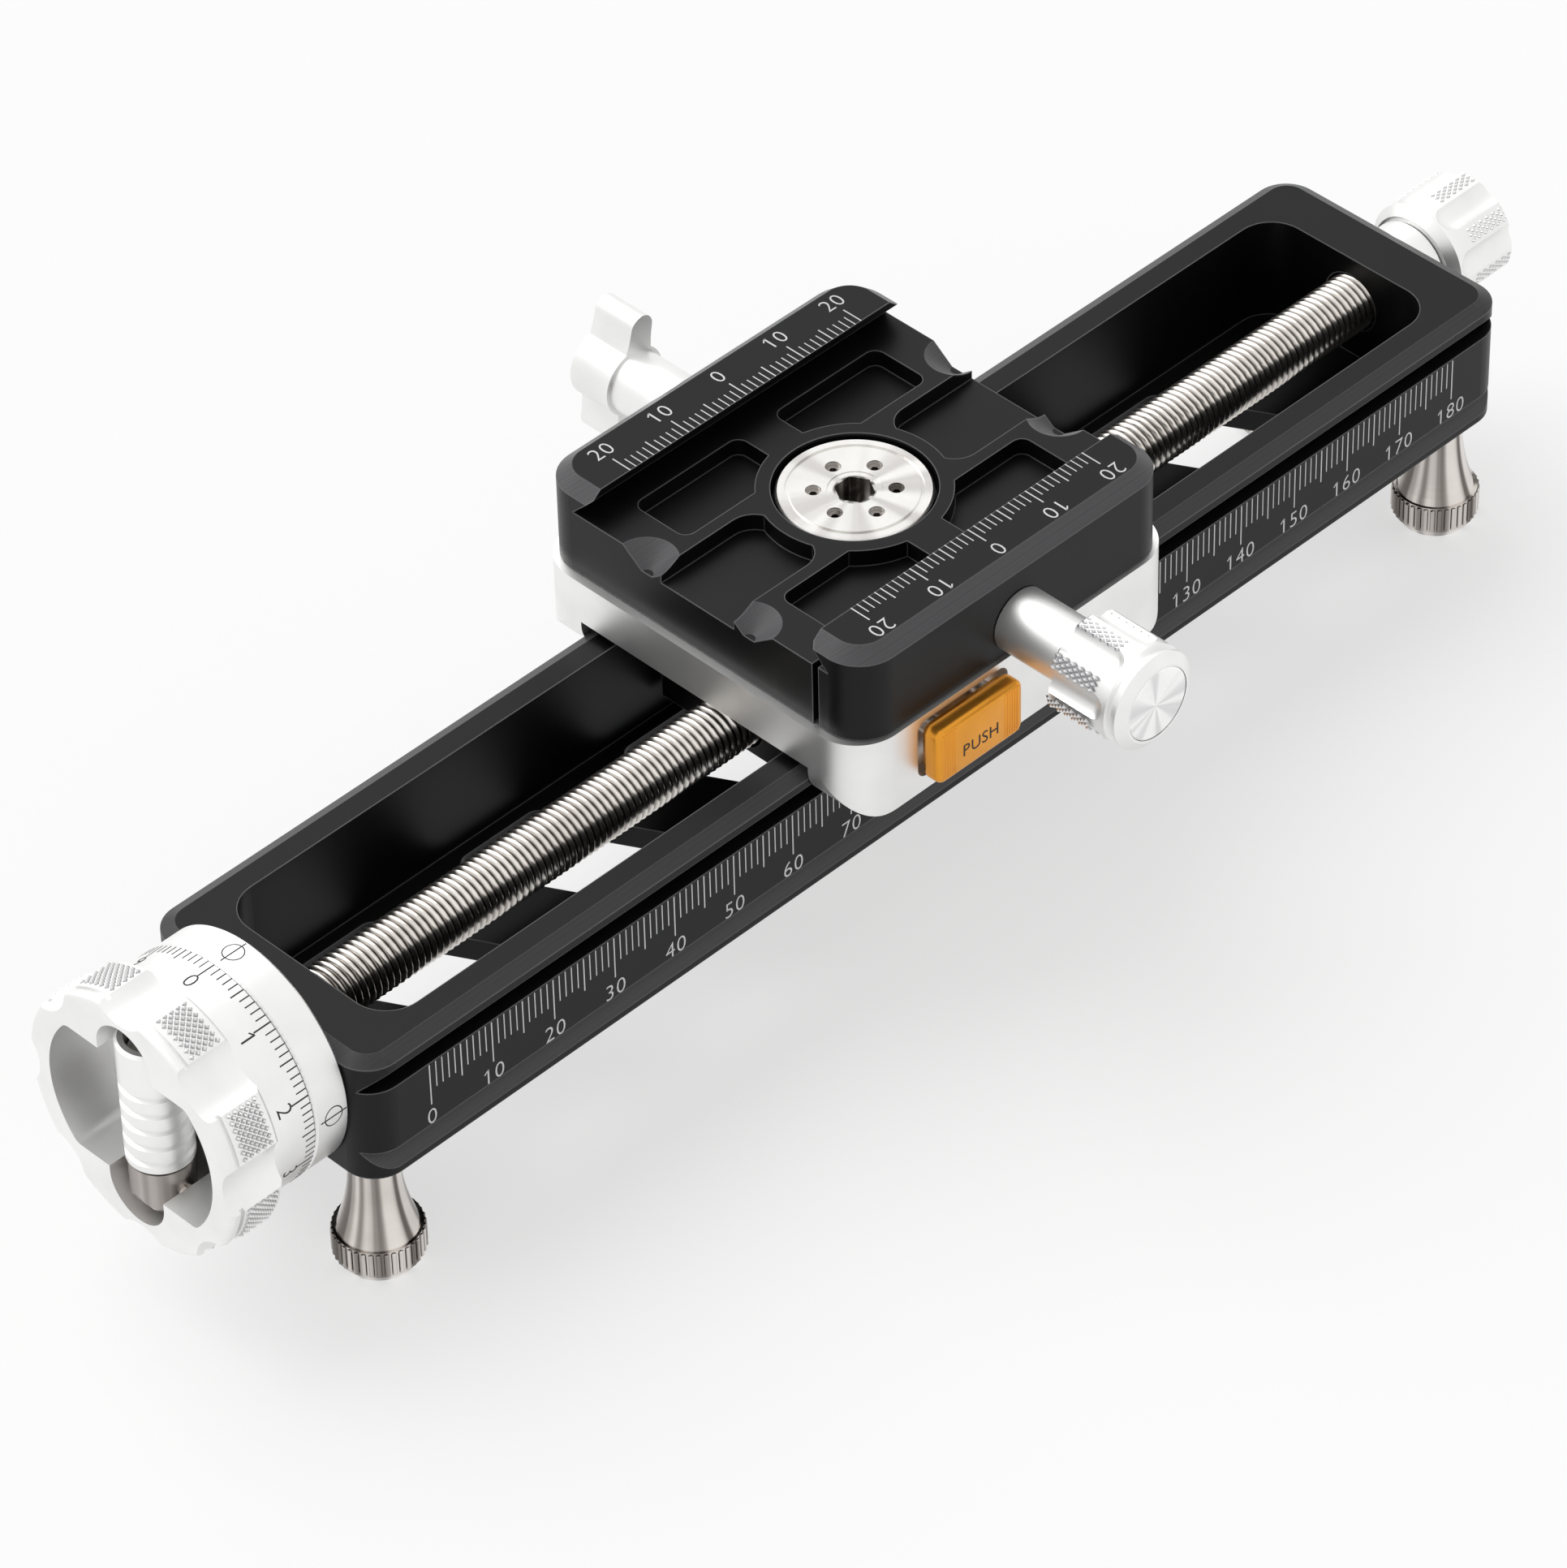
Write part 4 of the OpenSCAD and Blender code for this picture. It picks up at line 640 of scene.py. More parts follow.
    def cut(self, name: str, grain: Grain, centre: Triple = (0, 0, 0),
            **grooves: object) -> "Finish":
        """Give the same finish cut another way or round another axis.

        Args:
            name: its material's name.
            grain: how it was cut.
            centre: a point on the axis that it was turned about, in millimetres.
            grooves: valley and reach, for shade painted in the grooves of knurling, ribs, the
                thread and a socket.

        Returns:
            The finish.
        """
        return replace(self, name=name, grain=grain, centre=centre, **grooves)

    def coat(self, *names: str) -> None:
        """Give this material to CAD nodes."""
        self.dress(*(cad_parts[name] for name in names))

    def dress(self, *items: Piece) -> None:
        """Give this material to every slot of the objects."""
        for item in items:
            if not item.material_slots:
                item.data.materials.append(None)
            for holder in item.material_slots:
                holder.material = self.material()


# Black anodised aluminium, milled and blasted satin: dull black, with a highlight painted as a
# brighter line on its bevels and broken corners
BLACK = Finish("anodised_black", "#060607", "#09090a", roughness=0.38, grain=Grain.MILLED_X,
               pitch=0.22, depth=0.004, metallic=0.0, specular=0.2, edge="#767678")
# The same on blasted sides, with no direction in it
BLACK_BLASTED = BLACK.cut("anodised_black_blasted", Grain.BLASTED)
# Clear anodised aluminium, bead blasted: a pearl white metal with a very fine grain
PEARL = Finish("anodised_pearl", "#f4f4f3", "#ececeb", roughness=0.42,
               grain=Grain.BLASTED, pitch=0.16, depth=0.006)
# Turned stainless steel: warm grey with rings from the lathe
STEEL = Finish("turned_stainless", "#ece7e1", "#ded8d2", roughness=0.22,
               grain=Grain.TURNED_X, pitch=0.18, depth=0.008, centre=SCREW_AXIS)
# Black oxide on alloy steel screws: near black with an oily sheen
OXIDE = Finish("black_oxide", "#26262a", "#1c1c1f", roughness=0.34,
               grain=Grain.TURNED_Z, pitch=0.15, depth=0.006)
# Turned brass: yellow, a little dull
BRASS = Finish("turned_brass", "#c9a35c", "#bd9650", roughness=0.3,
               grain=Grain.TURNED_Y, pitch=0.18, depth=0.006)
# Gold anodised aluminium, brushed up and down: deep orange gold
GOLD = Finish("anodised_gold", "#eda23a", "#e09630", roughness=0.3, grain=Grain.DRAWN_Z,
              pitch=0.12, depth=0.008, metallic=0.9)
# Drawn spring wire: plain grey steel
WIRE = Finish("spring_wire", "#9a9a9c", "#8c8c8e", roughness=0.3,
              grain=Grain.BLASTED, pitch=0.2, depth=0.004)
# Laser marks on black: pale grey, matte
PALE_MARK = Finish("laser_mark_pale", "#e2e2e2", "#d4d4d4", roughness=0.6,
                   grain=Grain.BLASTED, pitch=0.1, depth=0.002, metallic=0.0)
# Laser marks on silver: dark grey, matte
DARK_MARK = replace(PALE_MARK, name="laser_mark_dark", colour="#2a2a2b", cloud="#343435")
# Laser mark on gold: brown black
BROWN_MARK = replace(PALE_MARK, name="laser_mark_brown", colour="#2c1d08", cloud="#35240c")


# Sub-assemblies

@dataclass(frozen=True)
class Studio:
    """Camera, lamps, world and floor of the photograph."""

    camera_place: Triple = (-534.68, -536.28, 662.25)
    camera_turn: Triple = (48.28557, 1.11303, -45.20444)
    lens: float = 185.625
    sensor: float = 36.0
    clip: Pair = (0.05, 50.0)
    sun_turn: Triple = (38.0, 6.0, 182.0)
    sun_power: float = 1.7
    sun_spread: float = 60.0
    sky: float = 0.52
    floor_z: float = -17.25
    floor_radius: float = 3000.0
    floor_rim: float = 400.0
    glow: float = 0.6

    def build(self) -> None:
        """Make the camera, the lamp, the world and the floor."""
        eye = bpy.data.cameras.new("camera")
        eye.lens, eye.sensor_width, eye.sensor_fit = self.lens, self.sensor, "HORIZONTAL"
        eye.clip_start, eye.clip_end = self.clip
        holder = bpy.data.objects.new("camera", eye)
        holder.location = point(*self.camera_place)
        holder.rotation_euler = [math.radians(a) for a in self.camera_turn]
        bpy.context.scene.collection.objects.link(holder)
        bpy.context.scene.camera = holder
        bpy.context.scene.view_settings.view_transform = "Standard"
        self.lamp()
        self.world()
        self.floor()
        log.info("studio: camera, lamp, world and floor")

    def lamp(self) -> None:
        """Make the broad soft key light, from behind the rail and above."""
        light = bpy.data.lights.new("key", "SUN")
        light.energy, light.angle = self.sun_power, math.radians(self.sun_spread)
        holder = bpy.data.objects.new("key", light)
        holder.rotation_euler = [math.radians(a) for a in self.sun_turn]
        bpy.context.scene.collection.objects.link(holder)

    @staticmethod
    def seen(tree: Tree) -> Socket:
        """Tell which rays show the background, directly, in metal or through glass.

        Args:
            tree: the node tree of the world or the floor's material.

        Returns:
            1 for those rays and 0 for the rest.
        """
        path = node(tree, "ShaderNodeLightPath")
        first = node(tree, "ShaderNodeMath", {"operation": "MAXIMUM"},
                     i0=path.outputs["Is Camera Ray"], i1=path.outputs["Is Glossy Ray"])
        return node(tree, "ShaderNodeMath", {"operation": "MAXIMUM"}, i0=first.outputs[0],
                    i1=path.outputs["Is Transmission Ray"]).outputs[0]

    def world(self) -> None:
        """Make a plain world: soft light all round, white where it is seen."""
        world = bpy.data.worlds.new("studio")
        bpy.context.scene.world = world
        tree = blank(world)
        light = node(tree, "ShaderNodeBackground", Color=(1, 1, 1, 1), Strength=self.sky)
        white = node(tree, "ShaderNodeBackground", Color=(1, 1, 1, 1), Strength=1.0)
        both = node(tree, "ShaderNodeMixShader", i0=self.seen(tree), i1=light.outputs[0],
                    i2=white.outputs[0])
        node(tree, "ShaderNodeOutputWorld", Surface=both.outputs[0])

    def floor(self) -> None:
        """Make the white floor that the feet stand on, round, with a level rim far away."""
        deselect()
        bpy.ops.mesh.primitive_circle_add(vertices=64, radius=self.floor_radius * MM,
                                          fill_type="NGON", location=point(0, 0, self.floor_z))
        floor = bpy.context.object
        floor.name = "floor"
        edit(floor)
        bpy.ops.mesh.inset(thickness=self.floor_rim * MM)
        close()
        settle(floor)
        material = bpy.data.materials.new("paper_white")
        tree = blank(material)
        paper = node(tree, "ShaderNodeBsdfDiffuse", Color=(1, 1, 1, 1))
        glow = node(tree, "ShaderNodeEmission", Color=(1, 1, 1, 1), Strength=1.0)
        share = node(tree, "ShaderNodeMath", {"operation": "MULTIPLY"}, i0=self.seen(tree),
                     i1=self.glow)
        both = node(tree, "ShaderNodeMixShader", i0=share.outputs[0], i1=paper.outputs[0],
                    i2=glow.outputs[0])
        node(tree, "ShaderNodeOutputMaterial", Surface=both.outputs[0])
        floor.data.materials.append(material)


@dataclass(frozen=True)
class Rail:
    """The rail body with its collar, bearings, screws and feet."""

    side_y: float = -19.2
    scale_zero: float = -90.3
    scale_length: int = 180
    tick_top: float = 13.5
    tick_lengths: Triple = (6.3, 5.1, 4.0)
    digit_height: float = 2.35
    digit_z: float = 5.37
    collar_radius: float = 15.8
    collar_mark_x: float = -102.4
    # The index mark's ring, with its height as a share, and its line's width and length
    hoop_radii: Pair = (1.33, 0.085)
    hoop_height: float = 0.35
    index_line: Pair = (0.17, 4.0)
    foot_radius: float = 5.5
    # Top and bottom of the ribbed band, and how much of it the ribs leave free
    foot_ring: Pair = (-11.95, -15.96)
    rib_free: float = 0.5
    foot_ribs: int = 38
    rib_radius: float = 0.36
    rib_bevel: float = 0.1
    # How far a rib's middle is sunk, and how far up it is darkened with painted shade
    rib_sunk: float = 0.08
    rib_rise: float = 0.24

    def scale(self) -> Piece:
        """Make the millimetre scale on the rail's side, numbered every ten.

        Returns:
            The scale as one piece.
        """
        parts = scale_lines(self.scale_length, self.tick_lengths)
        for number in range(0, self.scale_length + 1, 10):
            parts.append(words(str(number), self.digit_height,
                               (number, self.digit_z - self.tick_top, 0)))
        marks = join("rail_scale", parts)
        # Flat work stood up on the side: its Y becomes Z and its face looks to -Y
        shift(marks, move_to(self.scale_zero, self.side_y, self.tick_top)
              @ Matrix.Rotation(math.radians(90), 4, "X"))
        PALE_MARK.dress(marks)
        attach(marks, "rail")
        return marks

    def index_marks(self) -> Piece:
        """Make the four index marks on the collar: a thin ring crossed by a line.

        Returns:
            The marks as one piece.
        """
        major, minor = self.hoop_radii
        parts = []
        for quarter in range(4):
            centre = quarter * self.collar_radius * TURN / 4
            deselect()
            bpy.ops.mesh.primitive_torus_add(
                major_segments=32, minor_segments=6, major_radius=major * MM,
                minor_radius=minor * MM, location=point(centre, 0, 0))
            hoop = settle(bpy.context.object)
            edit(hoop)
            bpy.ops.transform.resize(value=(1, 1, self.hoop_height))
            close()
            line = plate(*self.index_line)
            edit(line)
            bpy.ops.mesh.subdivide(number_cuts=2)
            close()
            shift(line, move_to(centre, 0, 0))
            parts += [hoop, line]
        marks = join("collar_index_marks", parts)
        round_screw(self.collar_mark_x, self.collar_radius).wrap(marks)
        DARK_MARK.dress(marks)
        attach(marks, "rail")
        return marks

    def foot_finish(self, side: str) -> Finish:
        """Give one foot's bright turned steel, with painted reflection streaks round the foot's own
        axis.
        """
        return Finish(f"foot_ribs_{side}_steel", "#eee8e3", "#dcd5cf", roughness=0.16,
                      grain=Grain.TURNED_Z, pitch=0.14, depth=0.004,
                      centre=(*FEET[side], 0), streak="#6e6863")

    def foot_ribs_ring(self, side: str) -> Piece:
        """Make the straight grip ribs round one foot.

        Args:
            side: which foot.

        Returns:
            The ribs.
        """
        name, (x, y), (top, low) = f"foot_ribs_{side}", FEET[side], self.foot_ring
        deselect()
        bpy.ops.mesh.primitive_cylinder_add(
            vertices=8, radius=self.rib_radius * MM, depth=(top - low - self.rib_free) * MM,
            location=point(x + self.foot_radius - self.rib_sunk, y, (top + low) / 2))
        rib = settle(bpy.context.object)
        modify(rib, "BEVEL", width=self.rib_bevel * MM, segments=1, limit_method="ANGLE",
               angle_limit=math.radians(60))
        ring(rib, self.foot_ribs, (x, y, 0), UP)
        ribs = join(name, [rib])
        tidy(ribs)
        # Painted shade darkens each rib where it meets the foot, between the ribs
        self.foot_finish(side).cut(
            f"{name}_cut", Grain.TURNED_Z, (x, y, 0), valley="#3a3836",
            reach=(self.foot_radius, self.foot_radius + self.rib_rise)).dress(ribs)
        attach(ribs, "rail")
        return ribs

    def build(self) -> list[Piece]:
        """Make the rail's pieces."""
        return [self.scale(), self.index_marks(), *(self.foot_ribs_ring(side) for side in FEET)]

    def dress(self) -> None:
        """Dress the rail's CAD nodes."""
        BLACK.coat("rail_body")
        PEARL.cut("anodised_pearl_turned_x", Grain.TURNED_X, SCREW_AXIS).coat(
            "index_collar", "rear_bearing_cap")
        OXIDE.coat("collar_screws")
        STEEL.coat("front_bearing", "rear_bearing")
        for side in FEET:
            self.foot_finish(side).coat(f"foot_{side}")


@dataclass(frozen=True)
class Knurl:
    """A patch of raised diamonds on a land of a knob.

    Attributes:
        across: spacing round the knob, in millimetres.
        along: spacing along the knob, in millimetres.
        columns: how many there are round the land.
        rows: how many there are along it.
        height: of each diamond, in millimetres.
        base: from a diamond's middle to its corners, as a share of the spacing.
        tip: the same at its top.
        sunk: how deep it reaches into the land, in millimetres.
    """

    across: float
    along: float
    columns: int
    rows: int
    height: float
    base: float = 0.47
    tip: float = 0.04
    sunk: float = 0.1

    def patch(self, centre_u: float, centre_v: float) -> Piece:
        """Make one flat patch.

        Args:
            centre_u: its middle round the knob, in millimetres of arc.
            centre_v: its middle along the knob, in millimetres.

        Returns:
            The patch: whole rows, with shorter rows set between them.
        """
        rows = []
        for columns, count in ((self.columns, self.rows), (self.columns - 1, self.rows - 1)):
            deselect()
            bpy.ops.mesh.primitive_cone_add(
                vertices=4, radius1=self.base * MM, radius2=self.tip * MM,
                depth=(self.height + self.sunk) * MM,
                location=point(0, 0, (self.height - self.sunk) / 2))
            stud = bpy.context.object
            stud.scale = (self.across, self.along, 1)
            settle(stud)
            shift(stud, move_to(centre_u - (columns - 1) * self.across / 2,
                                centre_v - (count - 1) * self.along / 2, 0))
            repeat(stud, columns, (self.across, 0, 0))
            repeat(stud, count, (0, self.along, 0))
            rows.append(stud)
        return join("patch", rows)

    def wrapped(self, name: str, barrel: Barrel, angles: Iterable[float], centre_v: float) -> Piece:
        """Make the patches of all a knob's lands.

        Args:
            name: the piece's name.
            barrel: the knob's cylinder.
            angles: the lands' middles, in degrees.
            centre_v: their middle along the knob, in millimetres.

        Returns:
            The knurling as one piece.
        """
        piece = join(name, [self.patch(math.radians(angle) * barrel.radius, centre_v)
                            for angle in angles])
        barrel.wrap(piece)
        tidy(piece, FINE_NEAR)
        return piece


GRIP_KNURL = Knurl(across=0.98, along=1.0, columns=7, rows=5, height=0.42)
SMALL_KNURL = Knurl(across=0.8, along=1.2, columns=3, rows=6, height=0.22)


@dataclass(frozen=True)
class Spindle:
    """The lead screw, the focus knob with its dial and crank, and the rear knob."""

    pitch: float = 1.0
    crest: float = 4.0
    root: float = 3.42
    # Where the crest turns into the flank: along and up, as shares of the octagon and the depth
    shoulder: Pair = (0.5, 0.86)
    # How far below the crest the painted shade in the thread's grooves ends, leaving the full
    # colour
    crest_shade: float = 0.16
    weld: float = 0.01
    thread_ends: Pair = (-94.95, 94.35)
    journal_ends: Pair = (-108.6, 111.1)
    journal: float = 2.5
    journal_bevel: float = 0.25
    dial_radius: float = 15.8
    dial_edge_x: float = -105.35
    dial_lines: tuple[Pair, Pair, Pair] = ((0.2, 2.6), (0.18, 2.0), (0.16, 1.5))
    dial_thick: float = 0.04
    digit_x: float = -109.0
    digit_height: float = 2.2
    grip_radius: float = 17.7
    grip_lands: int = 8
    grip_turn: float = -23.5
    grip_x: float = -115.2
    rear_radius: float = 7.6
    rear_lands: int = 7
    rear_x: float = 111.3
    # How far up the diamonds have painted shade, as a share of their height
    valley_share: float = 0.8
    crank_axis: Triple = (-115.8, 0, 0)

    def profile(self) -> Piece:
        """Make one turn's profile from half an octagon: a rounded crest between two flanks.

        Returns:
            The profile, a turn before the thread's start.
        """
        half = self.pitch / 2
        deselect()
        bpy.ops.mesh.primitive_circle_add(vertices=8, radius=half * MM, fill_type="NOTHING",
                                          rotation=(math.pi / 2, 0, 0))
        made = settle(bpy.context.object)
        choose(made, "VERT", lambda at: at.z < -0.1 * self.pitch)
        bpy.ops.mesh.delete(type="VERT")
        close()
        for corner in made.data.vertices:
            level = corner.co.z / (half * MM)
            # The half octagon's corners are at levels 0, 0.71 and 1
            if 0.5 < level < 0.9:
                corner.co.x *= self.shoulder[0]
                level = self.shoulder[1]
            corner.co.z = (self.root + (self.crest - self.root) * level) * MM
        made.location = point(self.thread_ends[0] - self.pitch, 0, SCREW_AXIS[2])
        return made

    def journals(self) -> list[Piece]:
        """Make the plain ends of the screw that the bearings and the knobs sit on.

        Returns:
            The two ends.
        """
        ends = []
        for inner, outer in zip(self.thread_ends, self.journal_ends):
            deselect()
            bpy.ops.mesh.primitive_cylinder_add(
                vertices=32, radius=self.journal * MM, depth=abs(outer - inner) * MM,
                rotation=(0, math.pi / 2, 0), location=point((inner + outer) / 2, 0, SCREW_AXIS[2]))
            rod = settle(bpy.context.object)
            modify(rod, "BEVEL", width=self.journal_bevel * MM, segments=2, limit_method="ANGLE")
            ends.append(rod)
        return ends

    def thread(self) -> Piece:
        """Make the lead screw with its real one millimetre thread.

        Returns:
            The screw.
        """
        start, end = self.thread_ends
        screw = self.profile()
        modify(screw, "SCREW", axis="X", angle=TURN, screw_offset=self.pitch * MM,
               iterations=int((end - start) / self.pitch) + 3, steps=20, render_steps=20,
               use_smooth_shade=True)
        settle(screw)
        tidy(screw, self.weld)
        for x, side in ((start, -1), (end, 1)):
            edit(screw)
            bpy.ops.mesh.bisect(plane_co=point(x, 0, 0), plane_no=(side, 0, 0), use_fill=True,
                                clear_outer=True)
            close()
        piece = join("lead_screw_thread", [screw, *self.journals()])
        edit(piece)
        bpy.ops.mesh.normals_make_consistent(inside=False)
        close()
        pick(piece)
        bpy.ops.object.shade_smooth_by_angle(angle=math.radians(35))
        # Painted shade darkens the thread towards the root of its groove
        STEEL.cut("turned_thread", Grain.TURNED_X, SCREW_AXIS, valley="#464340",
                  reach=(self.root, self.crest - self.crest_shade)).dress(piece)
        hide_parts("lead_screw")
        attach(piece, "spindle")
        return piece

    def dial(self) -> Piece:
        """Make the dial's hundred lines and its numbers 0 to 9.

        Returns:
            The dial's marks as one piece.
        """
        around = TURN * self.dial_radius
        # For tens, fives and ones: the first line, and each row's count and its steps to a turn
        rows = ((0, ((10, 10),)), (5, ((10, 10),)), (1, ((4, 100), (20, 20))))
        parts = []
        for (width, length), (first, repeats) in zip(self.dial_lines, rows):
            line = plate(width, length, self.dial_thick)
            shift(line, move_to(first * around / 100, -length / 2, 0))
            for count, steps in repeats:
                repeat(line, count, (around / steps, 0, 0))
            parts.append(line)
        for number in range(10):
            parts.append(words(str(number), self.digit_height,
                               (number * around / 10, self.digit_x - self.dial_edge_x, 0)))
        marks = join("dial_marks", parts)
        round_screw(self.dial_edge_x, self.dial_radius).wrap(marks)
        DARK_MARK.dress(marks)
        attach(marks, "spindle")
        return marks

    def knurls(self) -> list[Piece]:
        """Make the knurling on the lands of both knobs.

        Returns:
            The focus knob's and the rear knob's.
        """
        front = GRIP_KNURL.wrapped(
            "focus_knob_knurl", round_screw(0, self.grip_radius),
            [self.grip_turn - 360 / self.grip_lands * k for k in range(self.grip_lands)],
            self.grip_x)
        rear = SMALL_KNURL.wrapped(
            "rear_knob_knurl", round_screw(0, self.rear_radius, (0, 0, -1)),
            [360 / self.rear_lands * (k + 0.5) for k in range(self.rear_lands)], self.rear_x)
        for piece, radius, knurl in ((front, self.grip_radius, GRIP_KNURL),
                                     (rear, self.rear_radius, SMALL_KNURL)):
            # Painted shade darkens the knurling towards the land, between the diamonds
            PEARL.cut(f"{piece.name}_cut", Grain.TURNED_X, SCREW_AXIS, valley="#a8a8aa",
                      reach=(radius, radius + self.valley_share * knurl.height)).dress(piece)
            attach(piece, "spindle")
        return [front, rear]

    def build(self) -> list[Piece]:
        """Make the spindle's pieces."""
        return [self.thread(), self.dial(), *self.knurls()]

    def dress(self) -> None:
        """Dress the spindle's, the crank's and the sleeve's CAD nodes."""
        PEARL.coat("focus_knob", "rear_knob")
        OXIDE.coat("knob_fixing_screw", "rear_knob_set_screw")
        STEEL.coat("lead_screw", "crank_hinge_pin")
        # Machined stainless steel, greyer than the turned pieces, with painted reflection streaks
        Finish("crank_steel", "#bcb6b2", "#b0aaa6", roughness=0.32,
               grain=Grain.TURNED_Z, pitch=0.16, depth=0.006, centre=self.crank_axis,
               streak="#938c88").coat("crank_arm")
        STEEL.cut("turned_stainless_crank", Grain.TURNED_Z, self.crank_axis).coat(
            "crank_end_screw")
        PEARL.cut("anodised_pearl_sleeve", Grain.TURNED_Z, self.crank_axis).coat(
            "crank_sleeve")


@dataclass(frozen=True)
class Carriage:
    """The saddle with its guide rails, nut, release button and pivot disc."""

    button_x: float = -9.8
    button_face_y: float = -31.0
    button_size: Triple = (14.8, 2.7, 8.2)
    button_z: float = 20.7
    corner: float = 1.3
    edge_round: float = 0.7
    stem_inset: float = 0.6
    stem_depth: float = 0.45
    stem_lap: float = 0.4
    stem_round: float = 0.1
    rib_pitch: float = 0.42
    rib_count: int = 6
    rib_radius: float = 0.17
    rib_bevel: float = 0.06
    # The first rib from the button's end, how deep the ribs sit, and what they leave free in all
    first_rib: float = 0.95
    rib_sunk: float = 0.07
    rib_free: float = 1.19
    word_z: float = 19.75
    word_height: float = 1.75
    # From the pivot's axis to where the socket's painted shade is full and to where it ends
    socket_edge: Pair = (2.5, 2.8)

    def slab(self, size: Triple, corner: float, round_by: float, face_y: float) -> Piece:
        """Make an upright slab with round corners and round edges.

        Args:
            size: along X, Y and Z, in millimetres.
            corner: radius of its four corners, in millimetres.
            round_by: radius of the edges of its two faces, in millimetres.
            face_y: where its outer face is, in millimetres.

        Returns:
            The slab.
        """
        deselect()
        bpy.ops.mesh.primitive_cube_add(size=MM, location=point(
            self.button_x, face_y + size[1] / 2, self.button_z))
        made = bpy.context.object
        made.scale = size
        settle(made)
        choose(made, "EDGE", lambda one, two: abs(one.y - two.y) > 0.5 * size[1])
        bpy.ops.mesh.bevel(offset=corner * MM, segments=5)
        close()
        modify(made, "BEVEL", width=round_by * MM, segments=4, limit_method="ANGLE",
               angle_limit=math.radians(50))
        return made

    def button(self) -> Piece:
        """Make the release button: a round-edged plate with fine ribs, and its stem behind.

        Returns:
            The button.
        """
        wide, deep, high = self.button_size
        stem = (wide - 2 * self.stem_inset, self.stem_depth + self.stem_lap,
                high - 2 * self.stem_inset)
        parts = [self.slab(self.button_size, self.corner, self.edge_round, self.button_face_y),
                 self.slab(stem, self.corner, self.stem_round,
                           self.button_face_y + deep - self.stem_lap)]
        for side in (-1, 1):
            deselect()
            bpy.ops.mesh.primitive_cylinder_add(
                vertices=10, radius=self.rib_radius * MM, depth=(high - self.rib_free) * MM,
                location=point(self.button_x + side * (wide / 2 - self.first_rib),
                               self.button_face_y + self.rib_sunk, self.button_z))
            rib = settle(bpy.context.object)
            modify(rib, "BEVEL", width=self.rib_bevel * MM, segments=2, limit_method="ANGLE")
            repeat(rib, self.rib_count, (-side * self.rib_pitch, 0, 0))
            parts.append(rib)
        piece = join("release_button_plate", parts)
        pick(piece)
        bpy.ops.object.shade_smooth_by_angle(angle=math.radians(40))
        GOLD.dress(piece)
        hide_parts("release_button")
        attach(piece, "release")
        return piece

    def push_word(self) -> Piece:
        """Make the plain word on the release button that says what it does.

        Returns:
            The word.
        """
        word = words("PUSH", self.word_height, weight=0.0)
        shift(word, move_to(self.button_x, self.button_face_y, self.word_z)
              @ Matrix.Rotation(math.radians(90), 4, "X"))
        word.name = word.data.name = "button_word"
        BROWN_MARK.dress(word)
        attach(word, "release")
        return word

    def build(self) -> list[Piece]:
        """Make the carriage's pieces."""
        return [self.button(), self.push_word()]

    def dress(self) -> None:
        """Dress the carriage's CAD nodes."""
        PEARL.coat("saddle_plate", "guide_rail_front", "guide_rail_back")
        BLACK_BLASTED.coat("nut_housing")
        OXIDE.coat("guide_rail_screws", "nut_housing_screws")
        WIRE.coat("release_springs")
        GOLD.coat("release_button")
        STEEL.coat("release_rods")
        BRASS.coat("release_nut")
        # Faced stainless steel: rings from the lathe, with painted streaks of reflected light
        # across them
        faced = Finish("faced_disc", "#f4f2ef", "#e8e6e3", roughness=0.24,
                       grain=Grain.TURNED_Z, pitch=0.16, depth=0.01, centre=PIVOT_AXIS,
                       streak="#cfccc9")
        faced.coat("pivot_disc", "pivot_washer")
        # The pivot screw is faced flush with the disc, and painted shade darkens its socket
        faced.cut("faced_screw", Grain.TURNED_Z, PIVOT_AXIS, valley="#5a5653",
                  reach=self.socket_edge).coat("pivot_screw")
        # Socket screws in plain steel, painted darker for the shade inside their holes, with
        # painted reflection streaks
        Finish("socket_steel", "#a19c98", "#918c88", roughness=0.22,
               grain=Grain.TURNED_Z, pitch=0.16, depth=0.008, centre=PIVOT_AXIS,
               streak="#57534f").coat("disc_screws")


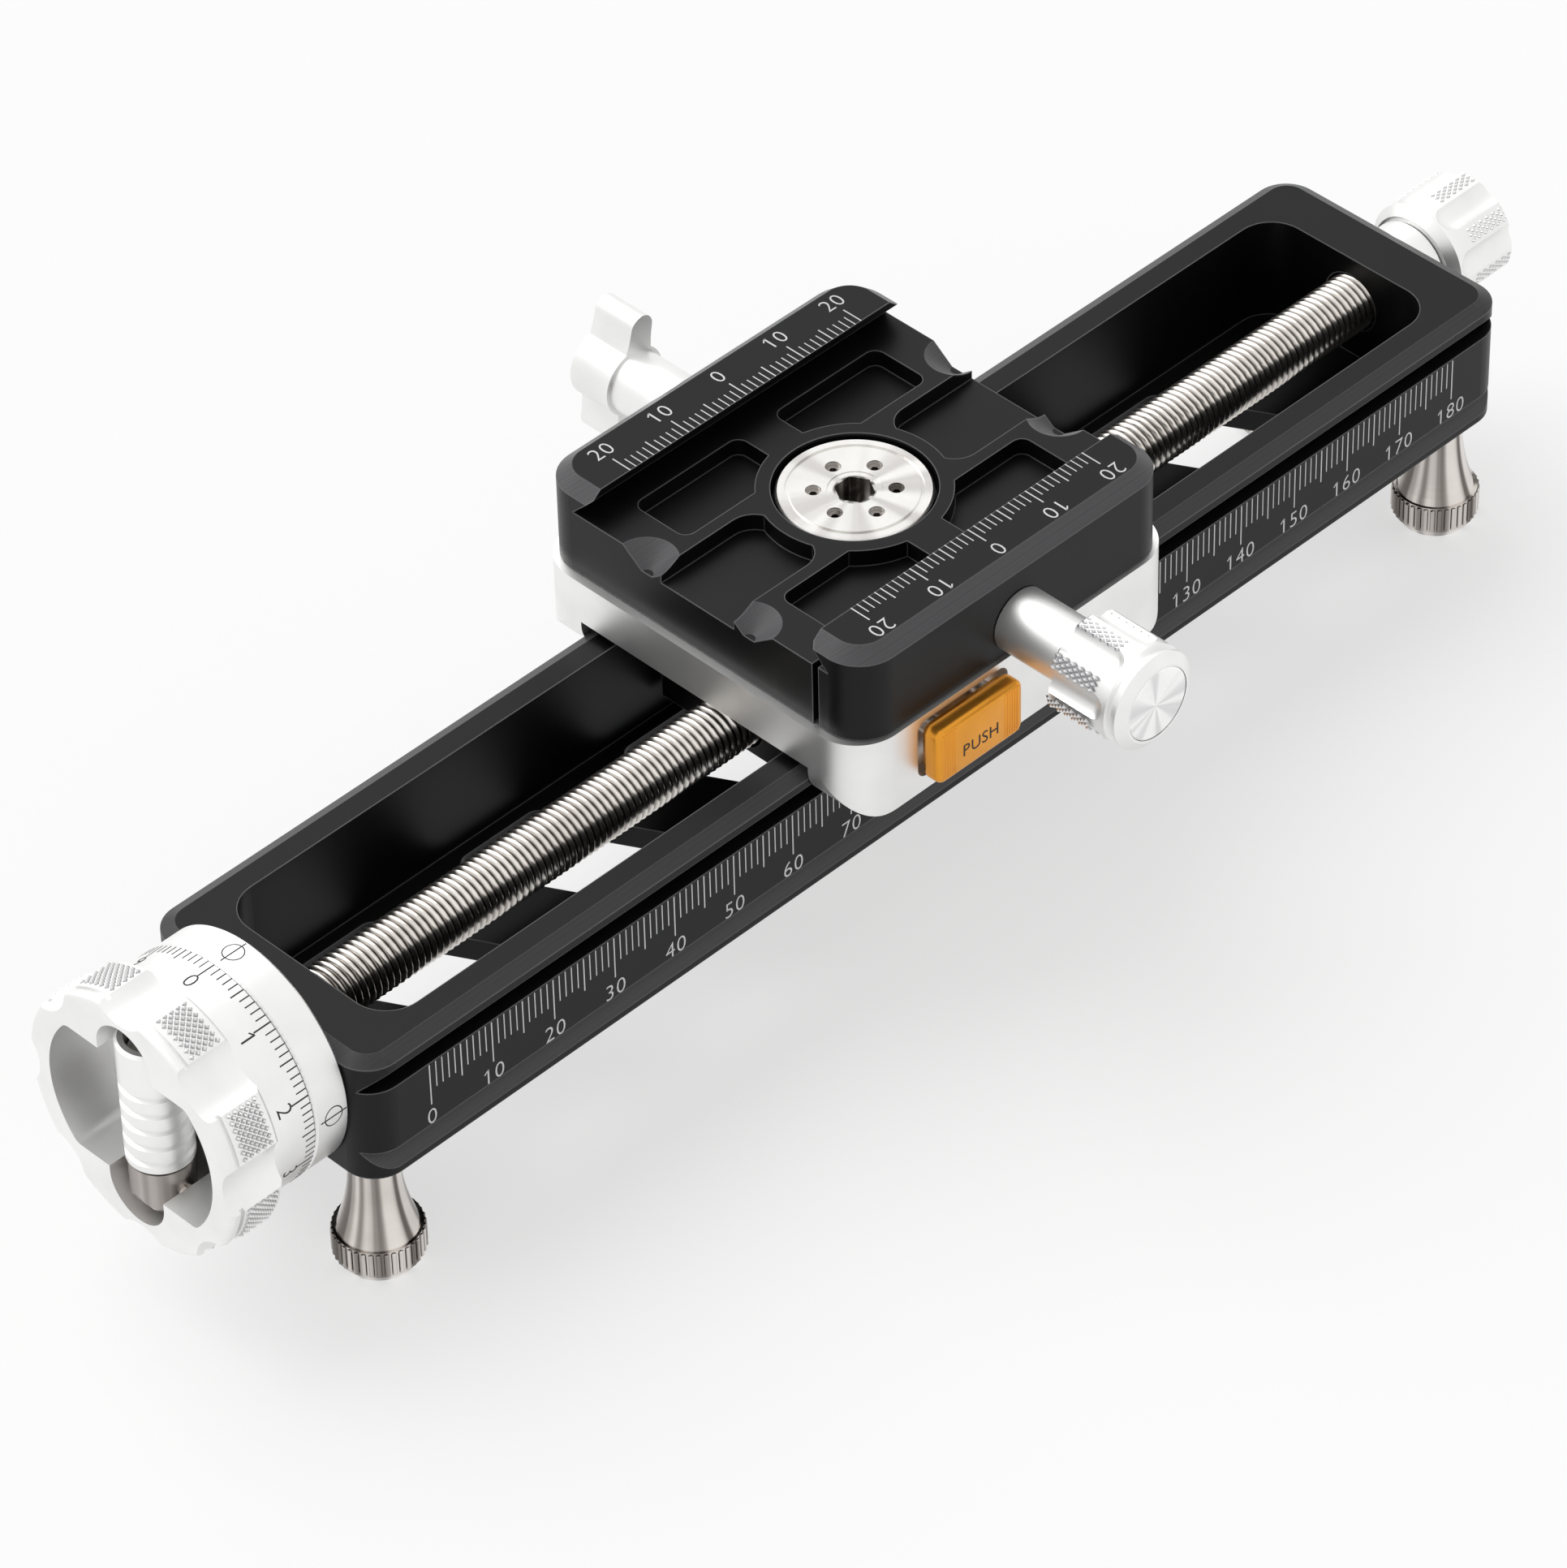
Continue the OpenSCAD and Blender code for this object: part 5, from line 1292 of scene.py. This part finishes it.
@dataclass(frozen=True)
class Clamp:
    """The panning clamp with its moving jaw, knob and lock wing."""

    top_z: float = 39.45
    scale_end: int = 20
    fixed_edge: float = 18.4
    moving_edge: float = -19.03
    fixed_digits: float = 23.5
    moving_digits: float = -24.15
    tick_lengths: Triple = (3.1, 2.55, 2.0)
    digit_height: float = 2.25
    knob_axis: Triple = (0, 0, 30.5)
    knob_radius: float = 6.8
    knob_lands: int = 7
    knob_turn: float = 16.8
    knurl_y: float = -42.2
    # How far up the knurling has painted shade
    knurl_rise: float = 0.18

    def scale(self, jaw: Jaw) -> Piece:
        """Make the scale on one jaw, from 20 over 0 to 20.

        Args:
            jaw: which one.

        Returns:
            The scale: lines from the jaw's lip outwards, digits beyond them.
        """
        fixed = jaw is Jaw.FIXED
        edge = self.fixed_edge if fixed else self.moving_edge
        digits = abs((self.fixed_digits if fixed else self.moving_digits) - edge)
        parts = scale_lines(self.scale_end, self.tick_lengths, -self.scale_end)
        for number in range(-self.scale_end, self.scale_end + 1, 10):
            parts.append(words(str(abs(number)), self.digit_height, (number, -digits, 0),
                               math.pi))
        marks = join(f"{jaw.name.lower()}_jaw_scale", parts)
        if fixed:
            # Each scale reads from its own side, so the fixed jaw's is turned half round
            marks = shift(marks, Matrix.Rotation(math.pi, 4, "Z"))
        shift(marks, move_to(PIVOT_AXIS[0], edge, self.top_z))
        PALE_MARK.dress(marks)
        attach(marks, jaw.value)
        return marks

    def knurl(self) -> Piece:
        """Make the knurling on the clamp knob's lands.

        Returns:
            The knurling as one piece.
        """
        barrel = Barrel(self.knob_axis, (0, -1, 0), ALONG, self.knob_radius)
        piece = SMALL_KNURL.wrapped(
            "clamp_knob_knurl", barrel,
            [self.knob_turn + 360 / self.knob_lands * (k + 0.5) for k in range(self.knob_lands)],
            -self.knurl_y)
        # Painted shade darkens the knurling towards the land, between the diamonds
        PEARL.cut("clamp_knob_knurl_cut", Grain.TURNED_Y, self.knob_axis, valley="#b8b8ba",
                  reach=(self.knob_radius, self.knob_radius + self.knurl_rise)).dress(piece)
        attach(piece, "jaw_knob")
        return piece

    def build(self) -> list[Piece]:
        """Make the clamp's pieces."""
        return [self.scale(Jaw.FIXED), self.scale(Jaw.MOVING), self.knurl()]

    def dress(self) -> None:
        """Dress the clamp's CAD nodes."""
        BLACK.coat("clamp_body", "clamp_jaw")
        STEEL.coat("jaw_guide_pins")
        WIRE.coat("jaw_springs")
        BRASS.coat("lock_bush", "lock_pad", "clamp_bush")
        PEARL.coat("lock_wing", "clamp_knob")
        STEEL.cut("turned_stainless_cross", Grain.TURNED_Y, self.knob_axis).coat(
            "lock_screw", "clamp_screw")
        # Faced bright aluminium, with faint painted reflection streaks
        Finish("faced_cap", "#fdfdfc", "#f6f6f5", roughness=0.26,
               grain=Grain.TURNED_Y, pitch=0.12, depth=0.01, centre=self.knob_axis,
               streak="#dcdcdd").coat("clamp_knob_cap")


def main() -> None:
    """Build the studio and each sub-assembly."""
    Studio().build()
    for assembly in (Rail(), Spindle(), Carriage(), Clamp()):
        for piece in assembly.build():
            log.info("%s: %s, %d faces", type(assembly).__name__, piece.name,
                     len(piece.data.polygons))
        assembly.dress()


if __name__ == "__main__":
    logging.basicConfig(level=logging.INFO, format="%(message)s")
    main()
